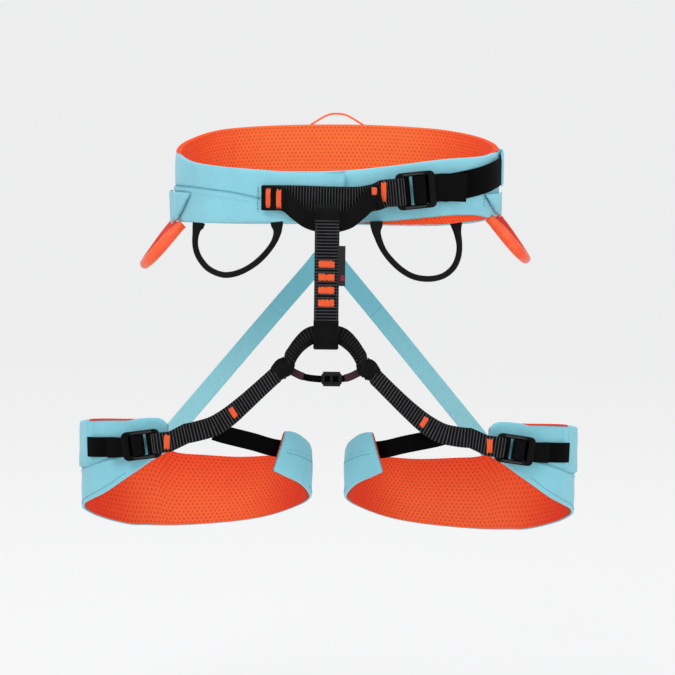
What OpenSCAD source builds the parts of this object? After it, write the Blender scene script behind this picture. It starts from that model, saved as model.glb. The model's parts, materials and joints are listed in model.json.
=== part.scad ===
// Climbing harness: a padded waist belt and two padded leg loops joined by webbing
//
// Millimetres. The origin is the middle of the waist opening, +Z is up and -Y is the wearer's front.
// Soft bands are lofted through outlines set along smooth curves; hard parts are plain solids.

/* [Waist belt] */
// Half width of the waist opening, side to side
waist_half_w = 134; // [126:1:142]
// Half depth of the waist opening, front to back
waist_half_d = 97; // [92:1:102]
// Thickness of the padding in the belt
waist_pad_t = 8.4; // [7.4:0.2:9]

/* [Leg loops] */
// Half width of a leg loop, side to side
leg_half_w = 95.5; // [92.5:1:98.5]
// Half depth of a leg loop, front to back
leg_half_d = 76; // [73:1:79]
// Thickness of the padding in a leg loop
leg_pad_t = 6.8; // [6:0.2:7.4]

/* [Webbing] */
// Thickness of one layer of webbing
web_t = 1.6; // [1.2:0.1:1.8]
// Width of the belay loop
belay_w = 20; // [18:1:24]
// Thickness of the belay loop's sewn layers
belay_t = 3.6; // [3:0.1:4]

/* [Gear loops] */
// Diameter of a front gear loop's cord
front_cord_d = 5.2; // [4:0.2:6]
// Diameter of a rear gear loop's moulded tube
rear_tube_d = 9.6; // [7:0.2:10]
// Diameter of the haul loop's cord
haul_cord_d = 1.8; // [1.4:0.2:3]

/* [Hidden] */
$fn = 40;

// Colours
blue = [0.36, 0.66, 0.74];
orange = [0.93, 0.22, 0.07];
pale_orange = [0.95, 0.35, 0.15];
black = [0.03, 0.03, 0.035];
graphite = [0.08, 0.08, 0.09];

// Joint positions that several parts share
tie_x = -7.4;      // middle of the belay loop and of the lower ring
leg_mid_x = -4.5;  // middle between the leg loops
belay_y = -113.5;  // plane of the belay loop
sling_pivot_z = -22;
ring_pivot_z = -146;
ring_cut_r = 34;   // half width of the lower ring, where the leg straps take over
cut_gap = 1.1;     // room at the fabric hinge between the ring and a leg strap

// ---- Curves ----

function spow(v, p) = sign(v) * pow(abs(v), p);
function unit(v) = v / norm(v);
function row_below(rows, x, i = 0) =
  i >= len(rows) - 2 || x < rows[i + 1][0] ? i : row_below(rows, x, i + 1);

// Smooth curve through rows of [position, values...], read at one position
function along(rows, at) =
  let (
    x = min(max(at, rows[0][0]), rows[len(rows) - 1][0]),
    i = row_below(rows, x),
    a = rows[max(i - 1, 0)],
    b = rows[i],
    c = rows[i + 1],
    d = rows[min(i + 2, len(rows) - 1)],
    span = c[0] - b[0],
    u = (x - b[0]) / span,
    m = (c - a) / (c[0] - a[0]) * span,
    n = (d - b) / (d[0] - b[0]) * span,
    v = (2*u^3 - 3*u^2 + 1)*b + (u^3 - 2*u^2 + u)*m + (3*u^2 - 2*u^3)*c + (u^3 - u^2)*n
  )
  [for (k = [1 : len(v) - 1]) v[k]];

// Oval plan curve, by its angle: 0 is the wearer's left, 90 the back, 270 the front
function oval(t, a, b, p) = [a*spow(cos(t), 2/p), b*spow(sin(t), 2/p)];
function oval_out(t, a, b, p) =
  unit([spow(cos(t), 2 - 2/p)/a, spow(sin(t), 2 - 2/p)/b, 0]);

// Fullness of a pad across its height: thin at both edges, full in the middle
function crown(s) = 1 - 0.55*pow(abs(2*s - 1), 6);

// ---- Waist belt surface ----

waist_p = 2.2;
waist_from = -112;
waist_to = 272;
waist_rows = [ // angle, top edge, bottom edge
  [-112, 13, -26], [-90, 14, -28.5], [-75, 17.8, -29.5], [-52, 24.3, -29], [-38, 26, -27],
  [-25.5, 27.5, -25], [0, 34.5, -24.5], [31, 44, -32], [55, 49.5, -35.8], [90, 52, -36],
  [134, 47, -35.5], [160, 37.5, -33], [180, 29.5, -31.5], [205, 20.5, -31], [223, 16.8, -30.7],
  [246, 14, -29], [260, 12.3, -27.5], [272, 13.8, -27.5]
];
waist_lip_rows = [ // angle, share of the height the liner covers outside, at the lower edge
  [-112, 0.015], [-92, 0.015], [-75, 0.07], [-52, 0.12], [-36, 0.1], [-22, 0.03], [-10, 0.015],
  [272, 0.015]
];
// The belt's right end tucks in behind its left end
function waist_tuck(t) = 9.4 * min(1, max(0, (-50 - t)/28));

function waist_at(t, s, d) =
  let (
    p = oval(t, waist_half_w, waist_half_d, waist_p),
    n = oval_out(t, waist_half_w, waist_half_d, waist_p),
    e = along(waist_rows, t),
    r = d - waist_tuck(t)
  )
  [p[0] + n[0]*r, p[1] + n[1]*r, e[1] + (e[0] - e[1])*s];

// Point over the belt's front at a plan position x, a height and a distance out from the middle
function front_angle(x) = -acos(spow(min(max(x/waist_half_w, -1), 1), waist_p/2));
function front(x, z, d) = belt(front_angle(x), z, d);
function belt(t, z, d) =
  let (
    p = oval(t, waist_half_w, waist_half_d, waist_p),
    n = oval_out(t, waist_half_w, waist_half_d, waist_p)
  )
  [p[0] + n[0]*d, p[1] + n[1]*d, z];

// ---- Leg loop surface, wearer's right leg; the other one is mirrored about leg_mid_x ----

leg_c = [-115.6, -14];
leg_from = -47;
leg_to = 257.5;
leg_rows = [ // angle, top edge, bottom edge
  [-47, -203, -235], [-38, -204, -241], [-26, -207.5, -247.5], [-13, -214.5, -256],
  [0, -223, -264], [27, -231, -277], [50, -235, -287.5], [70, -238, -293.6], [90, -237, -297],
  [103, -235, -298], [109, -229, -298], [114, -218, -297.8], [121, -208.5, -297.2],
  [132, -205, -296], [155, -203, -287.5], [180, -200.6, -276], [193, -198.4, -269],
  [206, -196, -263.5], [221, -194, -254.7], [240, -192.4, -236.5], [248, -191, -227.5],
  [254, -191.5, -221.5], [257.5, -196, -218]
];
function leg_at(t, s, d) =
  let (
    slant = 8.5 * s * min(1, max(0, (-22 - t)/25)),
    tt = t + slant,
    p = oval(tt, leg_half_w, leg_half_d, 2),
    n = oval_out(tt, leg_half_w, leg_half_d, 2),
    e = along(leg_rows, t),
    cup = 9 * max(0, sin(t)) * pow(max(0, 1 - s/0.55), 2),
    r = d - cup
  )
  [leg_c[0] + p[0] + n[0]*r, leg_c[1] + p[1] + n[1]*r, e[1] + (e[0] - e[1])*s];

function leg_front_angle(x) = 360 - acos((x - leg_c[0])/leg_half_w);
function leg_front(x, z, d) =
  let (
    t = leg_front_angle(x),
    p = oval(t, leg_half_w, leg_half_d, 2),
    n = oval_out(t, leg_half_w, leg_half_d, 2)
  )
  [leg_c[0] + p[0] + n[0]*d, leg_c[1] + p[1] + n[1]*d, z];

// ---- Solids from outlines ----

// Skin through a list of outlines; ring_shut joins the last one back to the first
module loft(rings, ring_shut = false) {
  n = len(rings[0]);
  m = len(rings);
  sides = [
    for (i = [0 : m - (ring_shut ? 1 : 2)])
      for (j = [0 : n - 1])
        let (
          a = i*n + j,
          b = i*n + (j + 1)%n,
          c = ((i + 1)%m)*n + (j + 1)%n,
          d = ((i + 1)%m)*n + j
        )
        each [[a, c, b], [a, d, c]]
  ];
  ends = ring_shut ? [] : [[for (j = [0 : n - 1]) j], [for (j = [n - 1 : -1 : 0]) (m - 1)*n + j]];
  polyhedron([for (r = rings) each r], concat(sides, ends));
}

// Flat band through stations of [point, width direction, width], squared to its own path
module band(stations, t, ring_shut = false) {
  m = len(stations);
  loft([
    for (i = [0 : m - 1])
      let (
        before = ring_shut ? stations[(i + m - 1)%m][0] : stations[max(i - 1, 0)][0],
        after = ring_shut ? stations[(i + 1)%m][0] : stations[min(i + 1, m - 1)][0],
        dir = unit(after - before),
        n = unit(cross(dir, stations[i][1])),
        across = cross(n, dir) * stations[i][2]/2,
        p = stations[i][0]
      )
      [p + across + n*t/2, p + across - n*t/2, p - across - n*t/2, p - across + n*t/2]
  ], ring_shut);
}

// Webbing along rows of [position, x, y, z, width, twist], facing the front when twist is 0
function xyz(v) = [v[0], v[1], v[2]];
function heading(rows, at) =
  let (last = rows[len(rows) - 1][0], b = min(at + 0.05, last), a = max(b - 0.1, rows[0][0]))
  unit(xyz(along(rows, b)) - xyz(along(rows, a)));
function twisted(rows, at) =
  let (
    v = along(rows, at),
    dir = heading(rows, at),
    flat = unit(cross(dir, [0, 1, 0])),
    face = cross(dir, flat)
  )
  [xyz(v), flat*cos(v[4]) + face*sin(v[4]), v[3]];

// Round or flat cord through stations of [point, normal of its plane, half width, half thickness]
module cord(stations) {
  m = len(stations);
  loft([
    for (i = [0 : m - 1])
      let (
        dir = unit(stations[min(i + 1, m - 1)][0] - stations[max(i - 1, 0)][0]),
        n = unit(cross(dir, stations[i][1])),
        w = cross(n, dir)
      )
      [
        for (k = [0 : 7])
          stations[i][0] + w*stations[i][3]*cos(45*k + 22.5) + n*stations[i][2]*sin(45*k + 22.5)
      ]
  ]);
}

module mirrored(about) {
  translate([2*about, 0, 0])
    mirror([1, 0, 0])
      children();
}

// ---- Pads ----

shell_share = 0.71; // inside face of a skin, as a share of the pad's half thickness
foam_share = 0.65;

function skin_points(heights, half, sign_d) =
  [for (s = heights) [s, sign_d*half*crown(s)]];

function shell_outline(half, lip) =
  concat(
    skin_points([lip + 0.012, lip + 0.06, 0.3, 0.5, 0.7, 0.93, 1], half, 1),
    skin_points([0.985, 0.93, 0.7, 0.5, 0.3, lip + 0.055, lip + 0.016], half*shell_share, 1)
  );
foam_heights = [0.045, 0.07, 0.3, 0.5, 0.7, 0.93, 0.955];
function foam_outline(half) =
  concat(
    skin_points(foam_heights, half*foam_share, 1),
    skin_points([for (i = [6 : -1 : 0]) foam_heights[i]], half*foam_share, -1)
  );
function liner_outline(half, lip) =
  concat(
    skin_points([0.99, 0.93, 0.7, 0.5, 0.3, 0.06, 0], half, -1),
    skin_points([0, lip], half, 1),
    skin_points([lip, 0.014], half*shell_share, 1),
    skin_points([0.02, 0.07, 0.3, 0.5, 0.7, 0.93, 0.98], half*shell_share, -1)
  );

waist_step = 6;
module waist_layer(kind) {
  half = waist_pad_t/2;
  edge = kind == "foam" ? 1.5 : 0;
  loft([
    for (at = [waist_from : waist_step : waist_to + 0.01])
      let (
        t = min(max(at, waist_from + edge), waist_to - edge),
        lip = along(waist_lip_rows, t)[0],
        shape = kind == "shell" ? shell_outline(half, lip)
              : kind == "foam" ? foam_outline(half)
              : liner_outline(half, lip)
      )
      [for (q = shape) waist_at(t, q[0], q[1])]
  ]);
}

leg_steps = 46;
module leg_layer(kind) {
  half = leg_pad_t/2;
  edge = kind == "foam" ? 2 : 0;
  loft([
    for (i = [0 : leg_steps])
      let (
        at = leg_from + (leg_to - leg_from)*i/leg_steps,
        t = min(max(at, leg_from + edge), leg_to - edge),
        shape = kind == "shell" ? shell_outline(half, 0.015)
              : kind == "foam" ? foam_outline(half)
              : liner_outline(half, 0.015)
      )
      [for (q = shape) leg_at(t, q[0], q[1])]
  ]);
}

// ---- Buckles: a frame hinged on the webbing's bar, and a sliding bar that grips the strap ----

bar_x = -14.5; // fixed bar, and the hinge line
bar_r = 2;
rail_t = 3;
frame_t = 4.4;
slider_t = 3;
slot_t = 2.4;
end_bar_x = 10.5;
frame_end_x = 17;
window_clear = 0.7;

module buckle_frame(strap_w) {
  y_in = strap_w/2 + window_clear;
  y_out = y_in + rail_t;
  difference() {
    union() {
      translate([bar_x, -y_out + 2, -frame_t/2])
        cube([frame_end_x - bar_x - 2, 2*y_out - 4, frame_t]);
      for (side = [-1, 1])
        translate([bar_x, side*(y_out - 1.5) - 1.5, -frame_t/2])
          cube([frame_end_x - bar_x - 4, 3, frame_t]);
      translate([frame_end_x - 4, -y_out + 4, -frame_t/2])
        cube([4, 2*y_out - 8, frame_t]);
      for (side = [-1, 1]) {
        translate([frame_end_x - 4, side*(y_out - 4), -frame_t/2])
          cylinder(h = frame_t, r = 4);
        translate([bar_x, side*(y_out - 1.5), -frame_t/2])
          cylinder(h = frame_t, r = 1.5);
      }
    }
    translate([bar_x - 6, -y_in, -frame_t])
      cube([end_bar_x - bar_x + 6, 2*y_in, 2*frame_t]);
    for (side = [-1, 1])
      translate([-6.6, side*y_in - 1.9, -slot_t/2])
        cube([12.8, 3.8, slot_t]);
  }
  translate([bar_x, y_in + 1, 0])
    rotate([90, 0, 0])
      cylinder(h = 2*y_in + 2, r = bar_r);
}

module buckle_slider(strap_w) {
  y_in = strap_w/2 + window_clear;
  translate([-2.6, -y_in + 0.5, 0])
    rotate([-90, 0, 0])
      cylinder(h = 2*y_in - 1, r = slider_t/2);
  translate([-2.6, -y_in + 0.5, -slider_t/2])
    cube([5.6, 2*y_in - 1, slider_t]);
  for (side = [-1, 1])
    translate([-2.6, side*(y_in + 0.1) - 1.3, -0.85])
      cube([5.6, 2.6, 1.7]);
}

// Strap from under the end bar, round the sliding bar and back out, in the buckle's own x and z
wrap_rows = [
  [0, 18.2, -5.1], [1, 12, -5.1], [2, 6, -4.9], [3, 1, -3.6], [4, -3.5, -3.15], [5, -6.2, -2.4],
  [6, -7.3, 0], [7, -6, 2.3], [8, -2.5, 3], [9, 2.2, 2.9], [10, 5, 1.9], [11, 6.6, -0.4],
  [12, 8.6, -2.6], [13, 12, -3.25], [14, 18.2, -3.25]
];
// Fixed webbing coming in over the bar, round it and back, in the buckle's own x and z
fixed_rows = [
  [0, -26, 2.2], [1, -21, 3], [2, -16, 3.3], [3, -13, 2.9], [4, -11.4, 1.3], [5, -11.4, -1.3],
  [6, -13, -2.9], [7, -16, -3.3], [8, -21, -2.4], [9, -26, -0.2]
];

// Placement of a buckle: origin and the directions of its x, y and z
function placed(at, x, z) = at[0] + at[1]*x + at[3]*z;
module place(at) {
  multmatrix([
    [at[1][0], at[2][0], at[3][0], at[0][0]],
    [at[1][1], at[2][1], at[3][1], at[0][1]],
    [at[1][2], at[2][2], at[3][2], at[0][2]],
    [0, 0, 0, 1]
  ])
    children();
}

waist_buckle_x = 61.5;
waist_buckle_tilt = 6;
waist_web_w = 23;
waist_buckle_at =
  let (
    t = front_angle(waist_buckle_x),
    n = oval_out(t, waist_half_w, waist_half_d, waist_p),
    e = cross([0, 0, 1], n),
    u = e*cos(waist_buckle_tilt) + [0, 0, sin(waist_buckle_tilt)]
  )
  [front(waist_buckle_x, -1, 9.2), u, cross(n, u), n];

leg_buckle_x = -154.2;
leg_buckle_tilt = 9;
leg_web_w = 16.6;
leg_buckle_at =
  let (
    t = leg_front_angle(leg_buckle_x),
    n = oval_out(t, leg_half_w, leg_half_d, 2),
    e = cross([0, 0, 1], n),
    u = -e*cos(leg_buckle_tilt) - [0, 0, sin(leg_buckle_tilt)]
  )
  [leg_front(leg_buckle_x, -212.7, 10.6), u, cross(n, u), n];

function wrap_stations(at, w, from, to) =
  [for (i = [from*3 : to*3]) let (q = along(wrap_rows, i/3)) [placed(at, q[0], q[1]), at[2], w]];
function fixed_stations(at, w, dip = 0) =
  [
    for (i = [0 : dip > 0 ? 21 : 27])
      let (q = along(fixed_rows, i/3), low = dip*min(1, max(0, (-16.5 - q[0])/6.5)))
      [placed(at, q[0], q[1] - (i < 14 ? low : 0)), at[2], w]
  ];

// ---- Belt-side webbing ----

up = [0, 0, 1];
web_out = waist_pad_t/2 + 0.2 + web_t/2; // middle of webbing that lies on the belt

module tie_in_webbing() {
  rows = [[-59, -8.5, 20.6], [-37, -8.4, 20.8], [0, -9, 21], [20, -8.8, 21.5], [36, -5.6, 22.6]];
  color(black)
    band(
      concat(
        [for (i = [0 : 16]) let (x = -59 + 5.7*i, v = along(rows, x)) [front(x, v[0], web_out), up, v[1]]],
        fixed_stations(waist_buckle_at, 22.6, 5.8)
      ),
      web_t
    );
}

sling_t = 3;
module tie_in_sling() {
  out = web_out + web_t/2 + 0.3 + sling_t/2;
  a = front(-58.5, -8.6, out);
  b = front(-51, -8.6, out);
  c = front(-44.5, -8.9, out + 0.6);
  g = front(28.6, -7.4, out + 0.7);
  h = front(32.6, -6.2, out + 1);
  rows = [
    [0, a[0], a[1], a[2], 20.4], [1, b[0], b[1], b[2], 20.4], [2, c[0], c[1], c[2], 19.6],
    [3, -39, -103.8, -13, 16], [4, -32, -107.6, -19.8, 14], [5, -21.5, -111.6, -25.6, 15.6],
    [6, -7, -113.5, -27.4, 17.4], [7, 8, -111.6, -25.4, 15.6], [8, 18, -108, -19, 14],
    [9, 24.4, -105.6, -12, 16], [10, g[0], g[1], g[2], 19.6], [11, h[0], h[1], h[2], 20.6]
  ];
  color(black)
    band(
      [
        for (i = [0 : 44])
          let (v = along(rows, i/4))
          [xyz(v), up, v[3]]
      ],
      sling_t
    );
}

strap_rows = [ // angle round the belt, height of the strap's middle
  [-57.5, 0.2], [-50, 1.4], [-41, 4], [-30, 7.6], [-14, 13.4], [0, 16], [14, 17]
];
module waist_strap() {
  color(black)
    band(
      concat(
        [
          for (i = [0 : 22])
            let (t = 14 - 3*i, z = along(strap_rows, t)[0])
            [belt(t, z, web_out + 0.1 + 0.2*waist_tuck(t)), up, waist_web_w]
        ],
        [for (x = [25, 21.5, 18.6]) [placed(waist_buckle_at, x, x > 22 ? -4.6 : -5.05), up, waist_web_w]]
      ),
      web_t
    );
}

module waist_strap_wrap() {
  color(black)
    band(
      concat(
        wrap_stations(waist_buckle_at, waist_web_w, 0, 14),
        [
          [placed(waist_buckle_at, 22, -2.9), waist_buckle_at[2], waist_web_w],
          [placed(waist_buckle_at, 30, -2.5) - up*0.6, up, waist_web_w],
          [placed(waist_buckle_at, 38, -3.4) - up*1.6, up, waist_web_w],
          [placed(waist_buckle_at, 46, -5.2) - up*2.8, up, waist_web_w]
        ]
      ),
      web_t
    );
}

module strap_sleeve() {
  out = web_out + 0.1 + web_t/2 + 0.2;
  half = waist_web_w/2 + 1.4;
  color(blue)
    loft([
      for (t = [-11 : 3 : 16.5])
        let (z = along(strap_rows, t)[0])
        [
          for (q = [[half, 0], [half, 0.4], [half - 3, 0.9], [3 - half, 0.9], [-half, 0.4], [-half, 0]])
            belt(t, z + q[0], out + q[1])
        ]
    ]);
}

// Fabric flap over the top of a rear gear loop; it stands off the belt towards its middle
module side_tab(from, to, low, high, stand) {
  out = waist_pad_t/2 + 0.2;
  color(blue)
    loft([
      for (i = [0 : 10])
        let (t = from + (to - from)*i/10, off = out + stand*sin(180*i/10))
        [
          waist_at(t, low, off), waist_at(t, low, off + 0.9), waist_at(t, (low + high)/2, off + 1.6),
          waist_at(t, high, off + 0.9), waist_at(t, high, off)
        ]
    ]);
}

// ---- Hook at the back of the belt that carries the risers ----

hook_y = 92;
module riser_hook() {
  color(black) {
    translate([tie_x - 0.4, hook_y, -44.5])
      cube([12, 1.8, 16], center = true);
    translate([tie_x - 0.4, hook_y, -57])
      difference() {
        translate([-9.4, -1.6, -4.5])
          cube([18.8, 3.2, 9]);
        translate([-7.2, -3, -2])
          cube([14.4, 6, 3.6]);
      }
  }
}

// ---- Belay loop ----

belay_gap = 5.25; // inside radius of both bends
belay_low_z = -121.8;
function belay_point(i) =
  let (r = belay_gap + belay_t/2, q = i < 14 ? -90 + 180*i/13 : 90 + 180*(i - 14)/13)
  i < 14
    ? [tie_x, belay_y + r*sin(q), sling_pivot_z + r*cos(q)]
    : [tie_x, belay_y + r*sin(q), belay_low_z + r*cos(q)];

module belay_loop() {
  color(black)
    band([for (i = [0 : 27]) [belay_point(i), [1, 0, 0], belay_w]], belay_t, true);
}

label_w = 6.3;
label_overhang = 5;
module belay_label() {
  color(graphite)
    translate([tie_x + belay_w/2 - label_w + label_overhang, belay_y - belay_gap - belay_t - 0.5, -78.5])
      cube([label_w, 0.5, 32.5]);
}

// ---- Lower tie-in ring and its crotch strap ----

ring_half_rows = [ // position, x from the middle, y, z, width, twist
  [-2, 20.5, -113.5, -126, 15, 42], [-1, 11.5, -113.5, -119.2, 14.4, 16], [0, 0, -113.5, -118.2, 14, 0],
  [1, -11.5, -113.5, -119.2, 14.4, 16], [2, -20.5, -113.5, -126, 15, 42],
  [3, -27, -113.5, -134.4, 15, 50], [4, -32, -113.5, -142.8, 16, 46]
];
cut_across = [0, -0.64, -0.77];
function ring_station(at) =
  let (q = twisted(ring_half_rows, at)) [q[0] + [tie_x, 0, 0], q[1], q[2]];

// Cross-section of the strap where ring and leg strap meet, in a plane of constant x
function cut_section(x, t, shift = 0) =
  let (
    p = [x + shift, -113.5, ring_pivot_z + (tie_x - ring_cut_r - x)*0.9],
    a = cut_across*8.6,
    n = [0, -0.77, 0.64]*t/2
  )
  [p + a + n, p + a - n, p - a - n, p - a + n];

function section(q, dir, t) =
  let (n = unit(cross(dir, q[1])), a = cross(n, dir)*q[2]/2)
  [q[0] + a + n*t/2, q[0] + a - n*t/2, q[0] - a - n*t/2, q[0] - a + n*t/2];

ring_t = 3;
module ring_half() {
  loft(concat(
    [
      for (i = [0 : 19])
        let (k = i/6)
        section(ring_station(k), heading(ring_half_rows, k), ring_t)
    ],
    [cut_section(tie_x - ring_cut_r + cut_gap, ring_t)]
  ));
}

module leg_tie_in_ring() {
  color(black) {
    ring_half();
    mirrored(tie_x)
      ring_half();
  }
}

module crotch_strap() {
  rows = [
    [0, -31, -109.8, -147.4], [1, -17, -108.6, -153.8], [2, 0, -108.5, -155.4],
    [3, 17, -108.6, -154.2], [4, 31, -109.8, -147.4]
  ];
  color(black)
    band([for (i = [0 : 16]) [xyz(along(rows, i/4)) + [tie_x, 0, 0], up, 5.6]], 1.2);
}

adjuster_x = 5;
module crotch_adjuster() {
  color(graphite)
    translate([tie_x + adjuster_x, -108.5, -155.2])
      difference() {
        translate([-8.5, -2.6, -5])
          cube([17, 5.2, 10]);
        translate([-10, -1.3, -4])
          cube([20, 2.6, 8]);
        for (x = [-5.6, 1])
          translate([x, -4, -3.6])
            cube([4.6, 8, 7.2]);
      }
}

// ---- Leg-side webbing ----

leg_strap_rows = [ // position, x, y, z, width, twist
  [0, -41.5, -113.5, -146.3, 17, 40], [1, -50, -112.4, -154, 16.4, 42], [2, -62, -109.6, -165.4, 16.4, 40],
  [3, -74, -106.6, -176.8, 16.4, 34], [4, -86, -103.6, -187.4, 16.6, 22], [5, -98, -101.4, -195.4, 16.6, 8],
  [6, -110, -99.6, -199.6, 16.6, 0], [7, -121, -98.2, -202.4, 16.6, 0]
];
// ring_shift moves the upper end sideways, to meet the ring; drop lets the middle hang lower
module leg_strap(ring_shift, drop) {
  rows = [
    for (r = leg_strap_rows)
      let (sag = drop*sin(180*min(1, r[0]/7.5)))
      [r[0], r[1] + ring_shift*(1 - min(1, r[0]/6)), r[2], r[3] - sag, r[4], r[5]]
  ];
  color(black)
    loft(concat(
      [cut_section(tie_x - ring_cut_r - cut_gap, web_t, ring_shift)],
      [
        for (i = [3 : 28])
          section(twisted(rows, i/4), heading(rows, i/4), web_t)
      ],
      let (st = fixed_stations(leg_buckle_at, leg_web_w), m = len(st))
      [
        for (i = [0 : m - 1])
          section(st[i], unit(st[min(i + 1, m - 1)][0] - st[max(i - 1, 0)][0]), web_t)
      ]
    ));
}

inner_strap_rows = [
  [0, -98, -98.3, -200.4], [1, -90, -96.2, -203], [2, -78, -89.5, -206.6], [3, -66, -79.5, -210.6],
  [4, -56.5, -68.6, -214.6], [5, -49, -59.5, -217.4], [6, -41, -50.5, -219.5]
];
module inner_strap(drop) {
  color(black)
    band(
      [
        for (i = [0 : 24])
          let (v = along(inner_strap_rows, i/4))
          [xyz(v) - up*drop*(1 - i/24), up, 14.6]
      ],
      web_t
    );
}

leg_web_out = leg_pad_t/2 + 0.2 + web_t/2;
module leg_tail() {
  color(black)
    band(
      concat(
        [
          for (i = [0 : 5])
            let (x = -201.6 + 4*i)
            [leg_front(x, -219.4 + 0.5*i, leg_web_out), up, leg_web_w]
        ],
        [for (x = [22, 18.6]) [placed(leg_buckle_at, x, -5), up, leg_web_w]]
      ),
      web_t
    );
}

module leg_tail_wrap() {
  color(black)
    band(
      concat(
        wrap_stations(leg_buckle_at, leg_web_w, 0, 14),
        [
          [placed(leg_buckle_at, 22, -3) + up*0.1, up, leg_web_w],
          [placed(leg_buckle_at, 28, -3.4) + up*0.5, up, leg_web_w],
          [placed(leg_buckle_at, 33, -4.6) + up*0.8, up, leg_web_w]
        ]
      ),
      web_t
    );
}

// ---- Elastic risers ----

riser_rows = [ // position, x, y, z
  [0, -9.4, 95.2, -58.4], [1, -19, 94.6, -72.5], [2, -46.6, 90, -105.2], [3, -74.3, 84, -138],
  [4, -102, 76.6, -171], [5, -129, 68.4, -203], [6, -149, 62.8, -227], [7, -158.5, 60.4, -238]
];
riser_w = 15.6;
riser_t = 1.5;
riser_top = 0.3;
riser_seam = 2.2;
riser_cut = 0.02;
riser_shift_right = 7.6;
riser_lift_right = 2.4;
module riser(from, to, shift, lift) {
  color(blue)
    band(
      [
        for (i = [0 : 16])
          let (k = from + (to - from)*i/16, v = along(riser_rows, k))
          [xyz(v) + [shift, lift, 0], [0.76, 0, -0.65], riser_w*min(1, 0.45 + k*0.9)]
      ],
      riser_t
    );
}

// ---- Gear loops ----

module hanging_loop(rows, steps, plane_normal) {
  cord([
    for (i = [0 : steps])
      let (v = along(rows, (len(rows) - 1)*i/steps))
      [xyz(v), plane_normal, v[3], v[4]]
  ]);
}

cr = front_cord_d/2;
front_left_rows = [ // position, x, y, z, half width, half thickness
  [0, -115, -53.9, -33.2, 4.6, 1.4], [1, -116.2, -53.2, -37, 3.6, 2], [2, -117.3, -52.6, -46.9, cr, cr],
  [3, -115.6, -53.6, -55.9, cr, cr], [4, -111, -56.2, -63.6, cr, cr], [5, -104, -60.2, -69.8, cr, cr],
  [6, -92.5, -66.8, -73.4, cr, cr], [7, -80.2, -73.9, -71, cr, cr], [8, -68.3, -80.7, -64.3, cr, cr],
  [9, -58.8, -86.2, -55.6, cr, cr], [10, -51.5, -90.3, -45.7, cr, cr], [11, -48.3, -92.2, -37, 3.6, 2],
  [12, -48.6, -92, -30.8, 4.6, 1.4]
];
front_right_rows = [
  [0, 32.7, -94.1, -30.6, 4.6, 1.4], [1, 33.3, -93.8, -37.2, 3.6, 2], [2, 38.1, -91.1, -49.2, cr, cr],
  [3, 45.6, -86.8, -59.1, cr, cr], [4, 55.1, -81.4, -67.6, cr, cr], [5, 65.4, -75.6, -72.9, cr, cr],
  [6, 77.8, -68.5, -74.5, cr, cr], [7, 89.3, -62, -72, cr, cr], [8, 97.5, -57.3, -65.3, cr, cr],
  [9, 101.5, -55, -56.2, cr, cr], [10, 102.2, -54.6, -46.4, cr, cr], [11, 100.5, -55.6, -36.6, 3.6, 2],
  [12, 99.4, -56.2, -29.4, 4.6, 1.4]
];
tr = rear_tube_d/2;
rear_left_rows = [ // position, x, y, z, half width, half thickness
  [0, -131.6, -34.4, -35.6, tr*0.85, tr*0.85], [1, -138.6, -34.4, -43, tr, tr],
  [2, -147, -33, -52.6, tr*1.06, tr*1.06], [3, -154.8, -27, -61.4, tr, tr],
  [4, -160.6, -13, -67, tr*0.86, tr*0.9], [5, -162.4, 6, -68, tr*0.84, tr*0.9],
  [6, -160, 22, -64, tr*0.92, tr], [7, -154, 31.4, -55, tr, tr],
  [8, -146.6, 34, -44.6, tr, tr], [9, -140.4, 34.4, -35.6, tr*0.85, tr*0.85]
];

rear_plane = [0.75, 0, -0.66];
rear_right_shift = [-1.5, 0, 8.3];

// ---- Haul loop ----

haul_rows = [ // position, x, y, z
  [0, -20.4, 97, 53.4], [1, -14, 98.6, 57.4], [2, -7, 99.6, 60.6], [3, 0, 99.9, 61.2],
  [4, 6.6, 99.6, 60.3], [5, 13, 98.6, 57.2], [6, 19.4, 97, 53.4]
];
module haul_loop() {
  color(pale_orange)
    cord([
      for (i = [0 : 20])
        let (v = along(haul_rows, i*0.3))
        [xyz(v), [0, 1, 0], haul_cord_d/2, haul_cord_d/2]
    ]);
}

// ---- Sub-parts ----

module waist_shell() {
  color(blue)
    waist_layer("shell");
}

module waist_foam() {
  color(graphite)
    waist_layer("foam");
}

module waist_liner() {
  color(orange)
    waist_layer("liner");
}

module side_tab_left() {
  side_tab(178, 206, -0.04, 0.43, 4);
}

module side_tab_right() {
  side_tab(-28, -2, 0.02, 0.36, 1.6);
}

module waist_buckle_frame() {
  color(graphite)
    place(waist_buckle_at)
      buckle_frame(waist_web_w);
}

module waist_buckle_slider() {
  color(graphite)
    place(waist_buckle_at)
      buckle_slider(waist_web_w);
}

module leg_shell_left() {
  color(blue)
    leg_layer("shell");
}

module leg_shell_right() {
  color(blue)
    mirrored(leg_mid_x)
      leg_layer("shell");
}

module leg_foam_left() {
  color(graphite)
    leg_layer("foam");
}

module leg_foam_right() {
  color(graphite)
    mirrored(leg_mid_x)
      leg_layer("foam");
}

module leg_liner_left() {
  color(orange)
    leg_layer("liner");
}

module leg_liner_right() {
  color(orange)
    mirrored(leg_mid_x)
      leg_layer("liner");
}

module leg_strap_left() {
  leg_strap(0, 0);
}

module leg_strap_right() {
  mirrored(leg_mid_x)
    leg_strap(5.8, 4.2);
}

module inner_strap_left() {
  inner_strap(0);
}

module inner_strap_right() {
  mirrored(leg_mid_x)
    inner_strap(1.8);
}

module leg_tail_left() {
  leg_tail();
}

module leg_tail_right() {
  mirrored(leg_mid_x)
    leg_tail();
}

module leg_buckle_frame_left() {
  color(graphite)
    place(leg_buckle_at)
      buckle_frame(leg_web_w);
}

module leg_buckle_frame_right() {
  color(graphite)
    mirrored(leg_mid_x)
      place(leg_buckle_at)
        buckle_frame(leg_web_w);
}

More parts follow.
